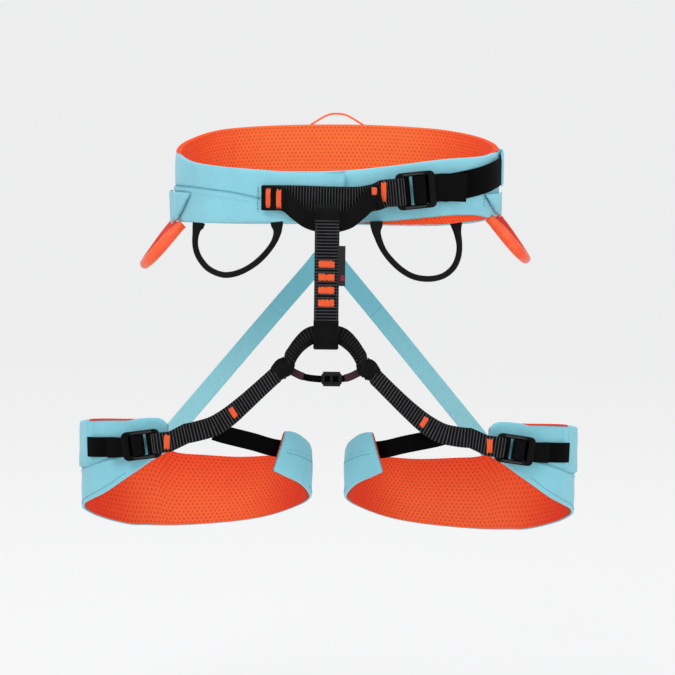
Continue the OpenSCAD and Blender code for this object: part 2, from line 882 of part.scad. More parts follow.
module leg_buckle_slider_left() {
  color(graphite)
    place(leg_buckle_at)
      buckle_slider(leg_web_w);
}

module leg_buckle_slider_right() {
  color(graphite)
    mirrored(leg_mid_x)
      place(leg_buckle_at)
        buckle_slider(leg_web_w);
}

module leg_tail_wrap_left() {
  leg_tail_wrap();
}

module leg_tail_wrap_right() {
  mirrored(leg_mid_x)
    leg_tail_wrap();
}

module riser_upper_left() {
  riser(riser_top, riser_seam, 0, 0);
}

module riser_upper_right() {
  mirrored(leg_mid_x)
    riser(riser_top, riser_seam, riser_shift_right, riser_lift_right);
}

module riser_lower_left() {
  riser(riser_seam + riser_cut, 7, 0, 0);
}

module riser_lower_right() {
  mirrored(leg_mid_x)
    riser(riser_seam + riser_cut, 7, riser_shift_right, riser_lift_right);
}

module gear_loop_front_left() {
  color(black)
    hanging_loop(front_left_rows, 28, [0.498, 0.867, 0]);
}

module gear_loop_front_right() {
  color(black)
    hanging_loop(front_right_rows, 28, [-0.494, 0.87, 0]);
}

module gear_loop_rear_left() {
  color(orange)
    hanging_loop(rear_left_rows, 26, rear_plane);
}

module gear_loop_rear_right() {
  color(orange)
    translate(rear_right_shift)
      mirror([1, 0, 0])
        hanging_loop(rear_left_rows, 26, rear_plane);
}

waist_shell();
waist_foam();
waist_liner();
side_tab_left();
side_tab_right();
tie_in_webbing();
tie_in_sling();
waist_strap();
strap_sleeve();
riser_hook();
waist_buckle_frame();
waist_buckle_slider();
waist_strap_wrap();
belay_loop();
belay_label();
leg_tie_in_ring();
crotch_strap();
crotch_adjuster();
leg_shell_left();
leg_foam_left();
leg_liner_left();
leg_strap_left();
inner_strap_left();
leg_tail_left();
leg_buckle_frame_left();
leg_buckle_slider_left();
leg_tail_wrap_left();
riser_upper_left();
riser_lower_left();
leg_shell_right();
leg_foam_right();
leg_liner_right();
leg_strap_right();
inner_strap_right();
leg_tail_right();
leg_buckle_frame_right();
leg_buckle_slider_right();
leg_tail_wrap_right();
riser_upper_right();
riser_lower_right();
gear_loop_front_left();
gear_loop_front_right();
gear_loop_rear_left();
gear_loop_rear_right();
haul_loop();
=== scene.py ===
"""Looks of the climbing harness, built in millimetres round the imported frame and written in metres."""
import json
import math

import bmesh
import bpy
import numpy as np
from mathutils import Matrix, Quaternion, Vector


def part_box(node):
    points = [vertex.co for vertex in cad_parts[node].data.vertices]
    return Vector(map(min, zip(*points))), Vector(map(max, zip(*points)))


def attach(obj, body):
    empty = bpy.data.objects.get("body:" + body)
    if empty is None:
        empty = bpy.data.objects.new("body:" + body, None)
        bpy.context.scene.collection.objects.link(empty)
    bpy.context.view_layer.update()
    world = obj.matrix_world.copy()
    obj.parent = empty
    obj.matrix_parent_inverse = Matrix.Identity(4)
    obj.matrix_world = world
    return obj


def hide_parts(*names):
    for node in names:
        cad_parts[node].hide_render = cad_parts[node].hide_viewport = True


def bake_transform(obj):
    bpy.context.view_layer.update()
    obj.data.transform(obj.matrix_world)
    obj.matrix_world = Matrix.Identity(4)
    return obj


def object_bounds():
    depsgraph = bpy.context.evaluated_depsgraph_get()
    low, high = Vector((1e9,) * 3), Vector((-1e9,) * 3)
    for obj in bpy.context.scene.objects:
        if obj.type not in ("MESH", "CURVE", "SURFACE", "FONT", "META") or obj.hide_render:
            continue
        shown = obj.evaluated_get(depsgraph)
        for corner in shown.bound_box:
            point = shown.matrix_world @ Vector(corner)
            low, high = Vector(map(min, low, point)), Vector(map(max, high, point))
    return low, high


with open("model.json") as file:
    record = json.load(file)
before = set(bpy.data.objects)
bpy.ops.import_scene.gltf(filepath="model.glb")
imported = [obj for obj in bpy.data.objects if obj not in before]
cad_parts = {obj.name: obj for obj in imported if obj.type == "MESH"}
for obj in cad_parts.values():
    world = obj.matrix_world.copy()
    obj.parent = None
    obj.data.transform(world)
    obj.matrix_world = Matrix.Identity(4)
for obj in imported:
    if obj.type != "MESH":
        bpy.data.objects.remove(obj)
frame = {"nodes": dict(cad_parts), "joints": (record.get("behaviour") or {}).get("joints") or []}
cad_low, cad_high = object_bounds()
rng = np.random.default_rng(11)
MM = 0.001
UP = np.array([0.0, 0.0, 1.0])
AHEAD = np.array([0.0, -1.0, 0.0])

# ---------------- sizes shared with the CAD source

WAIST_W, WAIST_D, WAIST_P, WAIST_T = 134, 97, 2.2, 8.4
WAIST_ROWS = [  # angle, top edge, bottom edge
    [-112, 13, -26], [-90, 14, -28.5], [-75, 17.8, -29.5], [-52, 24.3, -29], [-38, 26, -27],
    [-25.5, 27.5, -25], [0, 34.5, -24.5], [31, 44, -32], [55, 49.5, -35.8], [90, 52, -36],
    [134, 47, -35.5], [160, 37.5, -33], [180, 29.5, -31.5], [205, 20.5, -31], [223, 16.8, -30.7],
    [246, 14, -29], [260, 12.3, -27.5], [272, 13.8, -27.5],
]
LEG_X, LEG_Y, LEG_W, LEG_D, LEG_T = -115.6, -14, 95.5, 76, 6.8
LEG_ROWS = [  # angle, top edge, bottom edge
    [-47, -203, -235], [-38, -204, -241], [-26, -207.5, -247.5], [-13, -214.5, -256],
    [0, -223, -264], [27, -231, -277], [50, -235, -287.5], [70, -238, -293.6], [90, -237, -297],
    [103, -235, -298], [109, -229, -298], [114, -218, -297.8], [121, -208.5, -297.2],
    [132, -205, -296], [155, -203, -287.5], [180, -200.6, -276], [193, -198.4, -269],
    [206, -196, -263.5], [221, -194, -254.7], [240, -192.4, -236.5], [248, -191, -227.5],
    [254, -191.5, -221.5], [257.5, -196, -218],
]
LEG_MID_X = -4.5
BAR_X, END_BAR_X, FRAME_END_X = -14.5, 10.5, 17  # of a buckle frame
WAIST_WEB, LEG_WEB = 22.6, 16.6

# ---------------- curves


def unit(v):
    v = np.asarray(v, float)
    return v / np.maximum(np.linalg.norm(v, axis=-1, keepdims=True), 1e-9)


def ramp(x, start, end):
    """0 before start and 1 past end, straight between. It runs backwards if end is the lower one."""
    return np.clip((np.asarray(x, float) - start)/(end - start), 0, 1)


def stretch(x, a, b, c, d):
    """1 between b and c, falling to 0 at a and d."""
    return ramp(x, a, b)*ramp(x, d, c)


def bump(x, width):
    return np.exp(-(x/width)**2)


def along(rows, at):
    """Smooth curve through rows of [position, values...], read at an array of positions."""
    rows = np.asarray(rows, float)
    x = np.clip(np.asarray(at, float), rows[0, 0], rows[-1, 0])
    i = np.clip(np.searchsorted(rows[:, 0], x, "right") - 1, 0, len(rows) - 2)
    a, b, c, d = rows[np.maximum(i - 1, 0)], rows[i], rows[i + 1], rows[np.minimum(i + 2, len(rows) - 1)]
    span = (c[..., 0] - b[..., 0])[..., None]
    u = (x - b[..., 0])[..., None] / span
    m = (c - a) / (c[..., 0] - a[..., 0])[..., None] * span
    n = (d - b) / (d[..., 0] - b[..., 0])[..., None] * span
    v = (2*u**3 - 3*u**2 + 1)*b + (u**3 - 2*u**2 + u)*m + (3*u**2 - 2*u**3)*c + (u**3 - u**2)*n
    return v[..., 1:]


def smooth_line(points, steps=8):
    rows = [[i, *p] for i, p in enumerate(points)]
    return along(rows, np.linspace(0, len(points) - 1, (len(points) - 1)*steps + 1))


def arc_lengths(points):
    return np.concatenate([[0], np.cumsum(np.linalg.norm(np.diff(points, axis=0), axis=1))])


def read_at(x, run, points):
    """Points of a line at the lengths x, given the length reached at each of its own points."""
    return np.stack([np.interp(x, run, points[:, k]) for k in range(3)], -1)


def unmoved(points):
    return points


def mirrored(points):
    """The left leg's points moved to the right leg."""
    return points*np.array([-1, 1, 1]) + np.array([2*LEG_MID_X, 0, 0])


def distance_to_line(u, v, line):
    """Distance of each (u, v) from a drawn line that runs towards greater u, positive above it."""
    line = np.asarray(line, float)
    best = np.full(np.shape(u), 1e9)
    signed = np.full(np.shape(u), 1e9)
    for (ax, ay), (bx, by) in zip(line[:-1], line[1:]):
        dx, dy = bx - ax, by - ay
        k = np.clip(((u - ax)*dx + (v - ay)*dy)/math.hypot(dx, dy)**2, 0, 1)
        away = np.hypot(u - ax - k*dx, v - ay - k*dy)
        near = away < best
        best = np.where(near, away, best)
        signed = np.where(near, away*np.sign((v - ay)*dx - (u - ax)*dy), signed)
    return signed


def round_point(t, a, b, power):
    """a and b times the signed powers of the cosine and the sine of an angle in degrees."""
    c, s = (np.sign(v)*np.abs(v)**power for v in (np.cos(np.radians(t)), np.sin(np.radians(t))))
    return np.stack([a*c, b*s, np.zeros_like(c)], -1)


def oval(t, a, b, p):
    """Point of a superellipse with the half axes a and b."""
    return round_point(t, a, b, 2/p)


def oval_out(t, a, b, p):
    """Direction straight out of a superellipse."""
    return unit(round_point(t, 1/a, 1/b, 2 - 2/p))


def belt_out(t):
    return oval_out(t, WAIST_W, WAIST_D, WAIST_P)


def belt_point(t, z, d):
    """Point of the waist belt by angle, height and distance out from the padding's middle."""
    t = np.asarray(t, float)
    under_buckle = 9.4*ramp(t, -50, -78)
    p = oval(t, WAIST_W, WAIST_D, WAIST_P) + belt_out(t)*(d - under_buckle)[..., None]
    return p + UP*np.asarray(z)[..., None]


def leg_point(t, z, d):
    """Point of the left leg loop by angle, height and distance out from the padding's middle."""
    t = np.asarray(t, float)
    edge = along(LEG_ROWS, t)
    s = np.clip((z - edge[..., 1])/(edge[..., 0] - edge[..., 1]), 0, 1)
    turned = t + 8.5*s*ramp(t, -22, -47)
    cup = 9*np.maximum(0, np.sin(np.radians(t)))*np.maximum(0, 1 - s/0.55)**2
    p = oval(turned, LEG_W, LEG_D, 2) + oval_out(turned, LEG_W, LEG_D, 2)*(d - cup)[..., None]
    return p + UP*np.asarray(z)[..., None] + np.array([LEG_X, LEG_Y, 0])


# ---------------- meshes


def configure(thing, **values):
    for key, value in values.items():
        setattr(thing, key, value)


def new_object(name, vertices, faces, corner_uvs=None):
    mesh = bpy.data.meshes.new(name)
    mesh.from_pydata((np.asarray(vertices)*MM).tolist(), [], faces)
    if corner_uvs is not None:
        layer = mesh.uv_layers.new(name="mm")
        layer.data.foreach_set("uv", np.asarray(corner_uvs, np.float32).ravel())
    mesh.polygons.foreach_set("use_smooth", [True]*len(mesh.polygons))
    obj = bpy.data.objects.new(name, mesh)
    bpy.context.scene.collection.objects.link(obj)
    return obj


def outward(obj, weld=0.0):
    """Turns an object's faces outwards, after joining corners that are nearer than weld metres."""
    bm = bmesh.new()
    bm.from_mesh(obj.data)
    if weld:
        bmesh.ops.remove_doubles(bm, verts=bm.verts, dist=weld)
    bmesh.ops.recalc_face_normals(bm, faces=bm.faces)
    bm.to_mesh(obj.data)
    bm.free()
    return obj


def hard_edged(obj):
    obj.data.set_sharp_from_angle(angle=math.radians(42))
    return obj


def stack_faces(rows, columns, closed=False):
    """Faces round a stack of rings, and its two ends unless it closes on itself."""
    faces = []
    for i in range(rows if closed else rows - 1):
        a, b = i*columns, (i + 1) % rows*columns
        for j in range(columns):
            k = (j + 1) % columns
            faces.append((a + j, a + k, b + k, b + j))
    if not closed:
        faces += [tuple(range(start, start + columns)) for start in (0, (rows - 1)*columns)]
    return faces


def grid_object(name, grid, u, v, closed=False):
    """Mesh through a grid of points [along, round]. u and v are its two lengths in millimetres."""
    grid = np.asarray(grid)
    rows, columns = grid.shape[:2]
    u, v = (np.append(at, 2*at[-1] - at[-2]) for at in (np.asarray(u, float), np.asarray(v, float)))
    uvs = []
    for i in range(rows if closed else rows - 1):
        for j in range(columns):
            uvs += [(u[i], v[j]), (u[i], v[j + 1]), (u[i + 1], v[j + 1]), (u[i + 1], v[j])]
    if not closed:
        uvs += [(u[i], v[j]) for i in (0, rows - 1) for j in range(columns)]
    return outward(new_object(name, grid.reshape(-1, 3), stack_faces(rows, columns, closed), uvs))


def joined(name, parts):
    """One object out of several (vertices, faces) parts."""
    vertices, faces, uvs, base = [], [], [], 0
    for points, polygons in parts:
        vertices.append(points)
        faces += [tuple(base + i for i in polygon) for polygon in polygons]
        uvs += [(points[i][0] + points[i][1], points[i][2]) for polygon in polygons for i in polygon]
        base += len(points)
    return outward(new_object(name, np.concatenate(vertices), faces, uvs))


def rounded(width, thickness, edge, count):
    """Rounded bar section as (across, out) pairs, starting at the middle of its upper face."""
    half_w, half_t = width/2, thickness/2
    edge = min(edge, half_t, half_w)
    flat = half_w - edge
    quarter = [(x, half_t) for x in np.linspace(0, flat, count)[:-1]]
    for a in np.linspace(0, math.pi/2, 4):
        quarter.append((flat + edge*math.sin(a), half_t - edge + edge*math.cos(a)))
    lower = quarter
    if half_t - edge < 0.01:
        quarter[-1] = (half_w, 0.0)
        lower = quarter[:-1]
    right = quarter + [(x, -y) for x, y in reversed(lower)]
    left = [(-x, y) for x, y in reversed(right[1:-1])]
    return np.array(right + left)


def around(*shape):
    """Length reached round a rounded section at each of its points."""
    return arc_lengths(rounded(*shape))


def tube(points, radius, sides=6, flat=1.0):
    """A closed tube along points as (vertices, faces)."""
    points = np.asarray(points, float)
    way = unit(np.gradient(points, axis=0))
    side = unit(np.cross(way, np.where(abs(way[:, 2:3]) > 0.9, [[0, 1.0, 0]], [[0, 0, 1.0]])))
    other = np.cross(side, way)
    radius = np.broadcast_to(radius, (len(points),))
    angle = np.linspace(0, 2*math.pi, sides, endpoint=False)[None, :, None]
    ring = side[:, None]*np.cos(angle) + flat*other[:, None]*np.sin(angle)
    vertices = (points[:, None] + ring*radius[:, None, None]).reshape(-1, 3)
    return vertices, stack_faces(len(points), sides)


def two_sided(count):
    """Shares up the front of a sheet and down its back, with the side: +1 in front, -1 behind."""
    up = np.linspace(0, 1, count)
    return np.concatenate([up, up[::-1]]), np.repeat([1.0, -1.0], count)


def soft_rim(share):
    """Fullness of a sheet: 0 at its two edges and 1 soon inside them."""
    return np.clip(1 - np.abs(2*share - 1)**8, 0, 1)**0.5


# ---------------- CAD bands, read from the frame


def uneven(ring):
    """How far the corners of a ring are from being equally far from its centre."""
    radii = np.linalg.norm(ring - ring.mean(0), axis=1)
    return radii.max() - radii.min()


def rings(node, corners):
    """Cross-sections of a lofted CAD node in order along it, each an array of its corners."""
    mesh = frame["nodes"][node].data
    raw = np.array([v.co[:] for v in mesh.vertices])/MM
    _, first, same = np.unique(np.round(raw, 2), axis=0, return_index=True, return_inverse=True)
    same = same.ravel()
    points = raw[first]
    near = [set() for _ in points]
    planes = {}
    for polygon in mesh.polygons:
        ids = [int(same[i]) for i in polygon.vertices]
        for a in ids:
            near[a].update(b for b in ids if b != a)
        normal = unit(np.cross(points[ids[1]] - points[ids[0]], points[ids[2]] - points[ids[0]]))
        # triangles of one flat face share a key: its normal, and its offset in steps of 0.08 mm
        key = tuple(np.round(np.append(normal, normal @ points[ids[0]]/8), 2))
        planes.setdefault(key, set()).update(ids)
    if corners > 4:  # the start is the cap whose corners lie most evenly on a circle
        caps = [sorted(ids) for ids in planes.values() if len(ids) == corners]
        start = set(min(caps, key=lambda ids: uneven(points[ids])))
    else:  # the start is the corners at one end, which touch fewer others
        ends = [i for i in range(len(points)) if len(near[i]) < 6]
        start = {ends[0]}
        for _ in range(2):
            start |= {b for a in start for b in near[a] if b in ends}
    layers, seen = [], set()
    following = sorted(start)
    while following:
        layers.append(following)
        seen |= set(following)
        following = sorted({b for a in following for b in near[a]} - seen)
    return [points[layer] for layer in layers if len(layer) == corners]


class Band:
    """A strap's stations: length reached, centre, directions across and out, width and thickness."""

    def __init__(self, rows):
        self.run, self.centre = rows[:, 0], rows[:, 1:4]
        self.across, self.face = unit(rows[:, 4:7]), unit(rows[:, 7:10])
        self.width, self.thickness = rows[:, 10], rows[:, 11]
        self.length = self.run[-1]

    def at(self, length):
        """Centre, across and face at a length along the strap."""
        centre, across, face = (read_at(length, self.run, v) for v in (self.centre, self.across, self.face))
        return centre, unit(across), unit(face)

    def at_x(self, x):
        """Centre, across and face where the strap's front layer passes x."""
        gaps = (self.centre[:-1, 0] - x)*(self.centre[1:, 0] - x)
        i = min(np.flatnonzero(gaps <= 0), key=lambda hit: self.centre[hit, 1])
        before, after = self.centre[i, 0], self.centre[i + 1, 0]
        k = np.clip((x - before)/(after - before + 1e-9), 0, 1)
        return self.at(self.run[i] + k*(self.run[i + 1] - self.run[i]))

    def lay(self, i, section):
        """The points of a section at station i."""
        return self.centre[i] + self.across[i]*section[:, :1] + self.face[i]*section[:, 1:]


def read_band(node, hint, step, reach, begin=None):
    """A CAD band at an even step, its two ends made longer by reach, from the end nearer to begin.

    hint is the direction across it at the first section.
    """
    sections = rings(node, 4)
    across, width, thickness = [], [], []
    last = np.asarray(hint, float)
    for section in sections:  # the two corners nearest to each other are one edge of the webbing
        gaps = np.linalg.norm(section[1:] - section[0], axis=1)
        pair = 1 + int(np.argmin(gaps))
        rest = [k for k in (1, 2, 3) if k != pair]
        span = section[[0, pair]].mean(0) - section[rest].mean(0)
        if span @ last < 0:
            span = -span
        last = unit(span)
        across.append(last)
        width.append(np.linalg.norm(span))
        thickness.append(gaps.min())
    centre = np.array([s.mean(0) for s in sections])
    values = np.column_stack([across, width, thickness])
    if begin is not None:
        away = np.linalg.norm(centre[[0, -1]] - np.asarray(begin, float), axis=1)
        if away[0] > away[1]:
            centre, values = centre[::-1], values[::-1]
    way = unit(np.gradient(centre, axis=0))
    values = np.column_stack([values[:, :3], unit(np.cross(way, values[:, :3])), values[:, 3:]])
    values = np.concatenate([values[:1], values, values[-1:]])
    past = unit(centre[[0, -1]] - centre[[1, -2]])*np.array(reach)[:, None]
    centre = np.concatenate([centre[:1] + past[:1], centre, centre[-1:] + past[1:]])
    length = arc_lengths(centre)
    at = np.linspace(0, length[-1], max(2, int(round(length[-1]/step)) + 1))
    return Band(np.column_stack([at, along(np.column_stack([length, centre, values]), at)]))


# ---------------- materials


def srgb(r, g, b):
    """Linear colour of an 8-bit display colour."""
    shares = np.array([r, g, b])/255
    return (*np.where(shares <= 0.04045, shares/12.92, ((shares + 0.055)/1.055)**2.4).tolist(), 1.0)


def scaled(colour, k):
    return (*(c*k for c in colour[:3]), 1.0)


LOOKS = {}


class Look:
    """A procedural material being built, kept in LOOKS by its name. Its methods return sockets."""

    def __init__(self, name, roughness, specular, sheen=(0.0, 0.5), coat=(0.0, 0.03), **others):
        self.material = bpy.data.materials.new(name)
        self.material.use_nodes = True
        LOOKS[name] = self.material
        self.tree = self.material.node_tree
        self.shader = self.tree.nodes["Principled BSDF"]
        others.update(Roughness=roughness, Specular_IOR_Level=specular, Sheen_Weight=sheen[0],
                      Sheen_Roughness=sheen[1], Coat_Weight=coat[0], Coat_Roughness=coat[1])
        for key, value in others.items():
            self.shader.inputs[key.replace("_", " ")].default_value = value
        lengths = self.node("ShaderNodeUVMap", uv_map="mm").outputs[0]
        self.u, self.v = self.node("ShaderNodeSeparateXYZ", Vector=lengths).outputs[:2]
        self.place = self.node("ShaderNodeTexCoord").outputs["Object"]

    def node(self, kind, inputs=None, **values):
        made = self.tree.nodes.new(kind)
        for key, value in values.items():
            if key in made.inputs.keys():
                self.feed(made.inputs[key], value)
            else:
                setattr(made, key, value)
        for key, value in (inputs or {}).items():
            self.feed(made.inputs[key], value)
        return made

    def feed(self, socket, value):
        if isinstance(value, bpy.types.NodeSocket):
            self.tree.links.new(value, socket)
        else:
            socket.default_value = value

    def math(self, operation, *values):
        return self.node("ShaderNodeMath", dict(enumerate(values)), operation=operation).outputs[0]

    def axis(self, letter):
        """The X, Y or Z of each point, in metres."""
        return self.node("ShaderNodeSeparateXYZ", Vector=self.place).outputs[letter]

    def times(self, one, two):
        return self.math("MULTIPLY", one, two)

    def line(self, value, slope, start):
        """slope times the value, plus start."""
        return self.math("MULTIPLY_ADD", value, slope, start)

    def apart(self, one, two):
        """How far one value is from the other."""
        return self.math("ABSOLUTE", self.math("SUBTRACT", one, two))

    def mix(self, share, one, two):
        inputs = {"Factor": share, 6: one, 7: two}
        return self.node("ShaderNodeMix", inputs, data_type="RGBA").outputs[2]

    def ramp(self, value, low, high):
        """0 at low, 1 at high, smooth between."""
        inputs = {"Value": value, "From Min": low, "From Max": high}
        return self.node("ShaderNodeMapRange", inputs, interpolation_type="SMOOTHSTEP").outputs[0]

    def noise(self, scale, detail=3.0, stretch=(1, 1, 1)):
        spread = self.node("ShaderNodeMapping", Vector=self.place, Scale=stretch).outputs[0]
        made = self.node("ShaderNodeTexNoise", Vector=spread, Scale=scale, Detail=detail)
        return made.outputs[0]

    def wave(self, value, pitch):
        """Sine of a length in millimetres, from 0 to 1."""
        return self.line(self.math("SINE", self.line(value, 2*math.pi/pitch, 0.0)), 0.5, 0.5)

    def weave(self, across, down):
        """Threads that cross at the two pitches in millimetres."""
        return self.times(self.wave(self.u, across), self.wave(self.v, down))

    def relief(self, height, distance):
        """Bump of a 0 to 1 height that is distance millimetres deep, added to those before it."""
        before = self.shader.inputs["Normal"]
        inputs = {"Height": height, "Distance": distance*MM}
        if before.is_linked:
            inputs["Normal"] = before.links[0].from_socket
        self.tree.links.new(self.node("ShaderNodeBump", inputs).outputs[0], before)

    def colour(self, socket):
        self.tree.links.new(socket, self.shader.inputs["Base Color"])

    def roughness(self, socket):
        self.tree.links.new(socket, self.shader.inputs["Roughness"])


def woven_cloth(name, colour, pitch=0.55, creases=0.5, sheen=0.25):
    look = Look(name, roughness=0.8, specular=0.25, sheen=(sheen, 0.5))
    weave = look.weave(pitch, pitch)
    cloud = look.noise(22, 4)
    fleck = look.ramp(look.noise(420, 2), 0.5, 0.75)
    tint = look.mix(look.ramp(cloud, 0.3, 0.72), scaled(colour, 0.93), scaled(colour, 1.04))
    tint = look.mix(look.times(fleck, 0.25), tint, scaled(colour, 1.18))
    look.colour(look.mix(look.times(weave, 0.10), tint, scaled(colour, 0.72)))
    look.roughness(look.line(cloud, 0.16, 0.7))
    look.relief(weave, 0.06)
    look.relief(look.noise(60, 5, (1, 1, 1.6)), creases)


def dimples(look, across, rows):
    """Staggered round dimples, across millimetres apart in rows of the given pitch."""
    row = look.math("FLOOR", look.math("DIVIDE", look.v, rows))
    shift = look.times(look.math("MODULO", row, 2.0), across/2)
    moved = look.math("ADD", look.math("ADD", look.u, shift), 400*across)
    x = look.math("SUBTRACT", look.math("MODULO", moved, across), across/2)
    y = look.math("SUBTRACT", look.math("MODULO", look.math("ADD", look.v, 400*rows), rows), rows/2)
    away = look.math("SQRT", look.math("ADD", look.times(x, x), look.times(y, y)))
    return look.math("SUBTRACT", 1.0, look.ramp(away, 0.3, 1.05))


def perforated_mesh(name, colour, deep, across, rows, middle, reach, shady):
    """Mesh with dimples and painted shade: it deepens away from x = middle[0] +- middle[1], and between the
    heights shady.
    """
    look = Look(name, roughness=0.9, specular=0.08, sheen=(0.04, 0.5))
    hole = dimples(look, across, rows)
    knit = look.weave(0.7, 0.5)
    # painted shade: the colour turns to deep towards the sides and from shady[0] towards shady[1]
    aside = look.apart(look.apart(look.axis("X"), middle[0]*MM), middle[1]*MM)
    painted_shade = look.ramp(aside, reach*0.3*MM, reach*MM)
    painted_shade = look.math("MAXIMUM", painted_shade, look.ramp(look.axis("Z"), shady[0]*MM, shady[1]*MM))
    tint = look.mix(painted_shade, colour, deep)
    tint = look.mix(look.times(look.ramp(look.noise(16), 0.7, 0.3), 0.1), tint, deep)
    tint = look.mix(look.times(knit, 0.1), tint, scaled(deep, 0.7))
    # painted shade in the dimples' hollows, on top of their sunk bump
    look.colour(look.mix(look.times(hole, 0.42), tint, scaled(deep, 0.4)))
    look.relief(hole, -0.5)
    look.relief(knit, 0.05)
    look.relief(look.noise(35), 0.5)


def webbing_cloth(name, dark, gloss=0.05, pitch=0.0, light=srgb(96, 97, 99)):
    """Black webbing. A pitch gives the spacing of its ribs, whose tops get a painted highlight in the colour
    light.
    """
    look = Look(name, 0.6, gloss, (0.004, 0.35))
    thread = look.wave(look.v, 0.62)
    fine = look.times(thread, look.wave(look.u, 0.8))
    worn = look.noise(90, 4)
    tint = look.mix(look.ramp(worn, 0.35, 0.75), scaled(dark, 0.8), scaled(dark, 1.5))
    if pitch:
        # painted highlight: the tops of the ribs are mixed towards the colour light, broken up by noise
        top = look.math("POWER", look.wave(look.u, pitch), 5.0)
        painted_highlight = look.times(top, look.line(look.noise(160), 0.9, 0.35))
        tint = look.mix(look.times(painted_highlight, look.line(thread, 0.35, 0.65)), tint, light)
    look.colour(look.mix(look.times(fine, 0.25), tint, scaled(dark, 2.6)))
    look.roughness(look.line(worn, 0.25, 0.45))
    look.relief(fine, 0.09)


def thread_look(name, colour):
    look = Look(name, roughness=0.55, specular=0.4, sheen=(0.3, 0.4))
    twist = look.wave(look.math("ADD", look.u, look.v), 0.45)
    tint = look.mix(look.noise(300, 2), scaled(colour, 0.82), scaled(colour, 1.12))
    look.colour(look.mix(look.times(twist, 0.25), tint, scaled(colour, 0.62)))
    look.relief(twist, 0.05)


def elastic_look(name, colour, deep):
    """Woven elastic that is in shadow towards its upper end."""
    look = Look(name, roughness=0.75, specular=0.25, sheen=(0.2, 0.5))
    weave = look.weave(1.15, 0.8)
    nap = look.noise(520)
    tint = look.mix(look.ramp(look.axis("Z"), -190*MM, -70*MM), colour, deep)
    tint = look.mix(look.times(look.ramp(nap, 0.35, 0.65), 0.12), tint, scaled(deep, 0.8))
    look.colour(look.mix(look.times(weave, 0.12), tint, scaled(deep, 0.7)))
    look.relief(weave, 0.12)
    look.relief(nap, 0.05)


def anodised_metal(name, dark, worn, coat):
    """Black anodised aluminium, rubbed to its lighter tone in random places. With light colours it makes a
    painted highlight.
    """
    look = Look(name, roughness=0.33, specular=0.05, coat=(coat, 0.14), Metallic=0.1)
    grain = look.noise(900)
    wear_and_highlight = look.ramp(look.noise(70, 5), 0.52, 0.8)
    look.colour(look.mix(look.times(wear_and_highlight, 0.35), dark, worn))
    look.roughness(look.line(grain, 0.22, 0.24))
    look.relief(grain, 0.02)


def moulded_plastic(name, colour):
    look = Look(name, roughness=0.45, specular=0.2)
    grain = look.noise(1300, 2)
    look.colour(look.mix(look.ramp(look.noise(60, 4), 0.45, 0.8), scaled(colour, 0.9), scaled(colour, 1.35)))
    look.roughness(look.line(grain, 0.2, 0.35))
    look.relief(grain, 0.03)


def clear_moulding(name, length):
    """Orange moulded tube, milky round its tip, with painted light on its front limb and painted shade on its
    back limb.
    """
    look = Look(name, roughness=0.42, specular=0.3, coat=(0.12, 0.3), Subsurface_Weight=0.1,
                Subsurface_Radius=(0.004, 0.0012, 0.0006))
    near_tip = look.ramp(look.apart(look.u, length*0.55), length*0.04, length*0.2)
    milky = look.math("SUBTRACT", 1.0, near_tip)
    cloud = look.noise(55, 4)
    patches = look.ramp(cloud, 0.35, 0.7)
    # painted light and shade: front is the lit colour of the near limb and behind the shaded colour of the
    # far one
    front = look.mix(patches, srgb(250, 86, 40), srgb(255, 104, 58))
    behind = look.mix(patches, srgb(214, 50, 34), srgb(230, 68, 48))
    tint = look.mix(look.ramp(look.u, length*0.4, length*0.55), front, behind)
    look.colour(look.mix(look.times(milky, 0.55), tint, srgb(222, 112, 100)))
    look.roughness(look.line(cloud, 0.15, 0.32))
    look.relief(cloud, 0.25)


def cord_sheath(name, colour, pitch=1.3):
    """Braided sheath."""
    look = Look(name, roughness=0.65, specular=0.12, sheen=(0.02, 0.4))
    one = look.wave(look.math("ADD", look.u, look.v), pitch)
    two = look.wave(look.math("SUBTRACT", look.u, look.v), pitch)
    braid = look.math("MAXIMUM", one, two)
    look.colour(look.mix(look.times(braid, 0.5), scaled(colour, 0.75), scaled(colour, 1.9)))
    look.relief(braid, 0.12)


RIB = 2.55  # spacing of the ribs in the lengths that the webbing's material reads
leg_middle = LEG_MID_X - sum(c[0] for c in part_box("leg_liner_left"))/2/MM
woven_cloth("belt_blue", srgb(141, 211, 226))
woven_cloth("leg_blue", srgb(135, 207, 222))
woven_cloth("label", srgb(34, 34, 36), 0.4, 0.1, 0.05)
woven_cloth("patch", srgb(150, 24, 44), 0.4, 0.1, 0.1)
woven_cloth("trim", srgb(62, 34, 42), 0.5, 0.1, 0.05)
# the second colours are painted shade towards the sides, the belt liner's lower edge and the leg liners'
# upper part
perforated_mesh("liner", srgb(255, 120, 64), srgb(255, 84, 42), 3.65, 2.6, (0, 0), 150, (-8, -19))
perforated_mesh("leg_liner", srgb(255, 110, 62), srgb(238, 66, 38), 4.1, 2.7, (LEG_MID_X, leg_middle), 96,
                (-286, -212))
# the ribbed looks carry painted highlights on the tops of their ribs, in the colour light
webbing_cloth("ribbed", srgb(8, 8, 9), pitch=RIB)
webbing_cloth("ring", srgb(9, 9, 10), pitch=RIB, light=srgb(56, 57, 58))
webbing_cloth("flat", srgb(5, 5, 6), 0.02)
webbing_cloth("sling", srgb(11, 11, 12), 0.06)
webbing_cloth("worn", srgb(6, 6, 7))
thread_look("tack", srgb(252, 96, 36))
thread_look("dark_thread", srgb(45, 45, 48))
thread_look("blue_thread", srgb(84, 158, 176))
elastic_look("elastic", srgb(148, 220, 230), srgb(106, 188, 204))
anodised_metal("metal", srgb(7, 7, 8), srgb(30, 30, 32), 0.04)
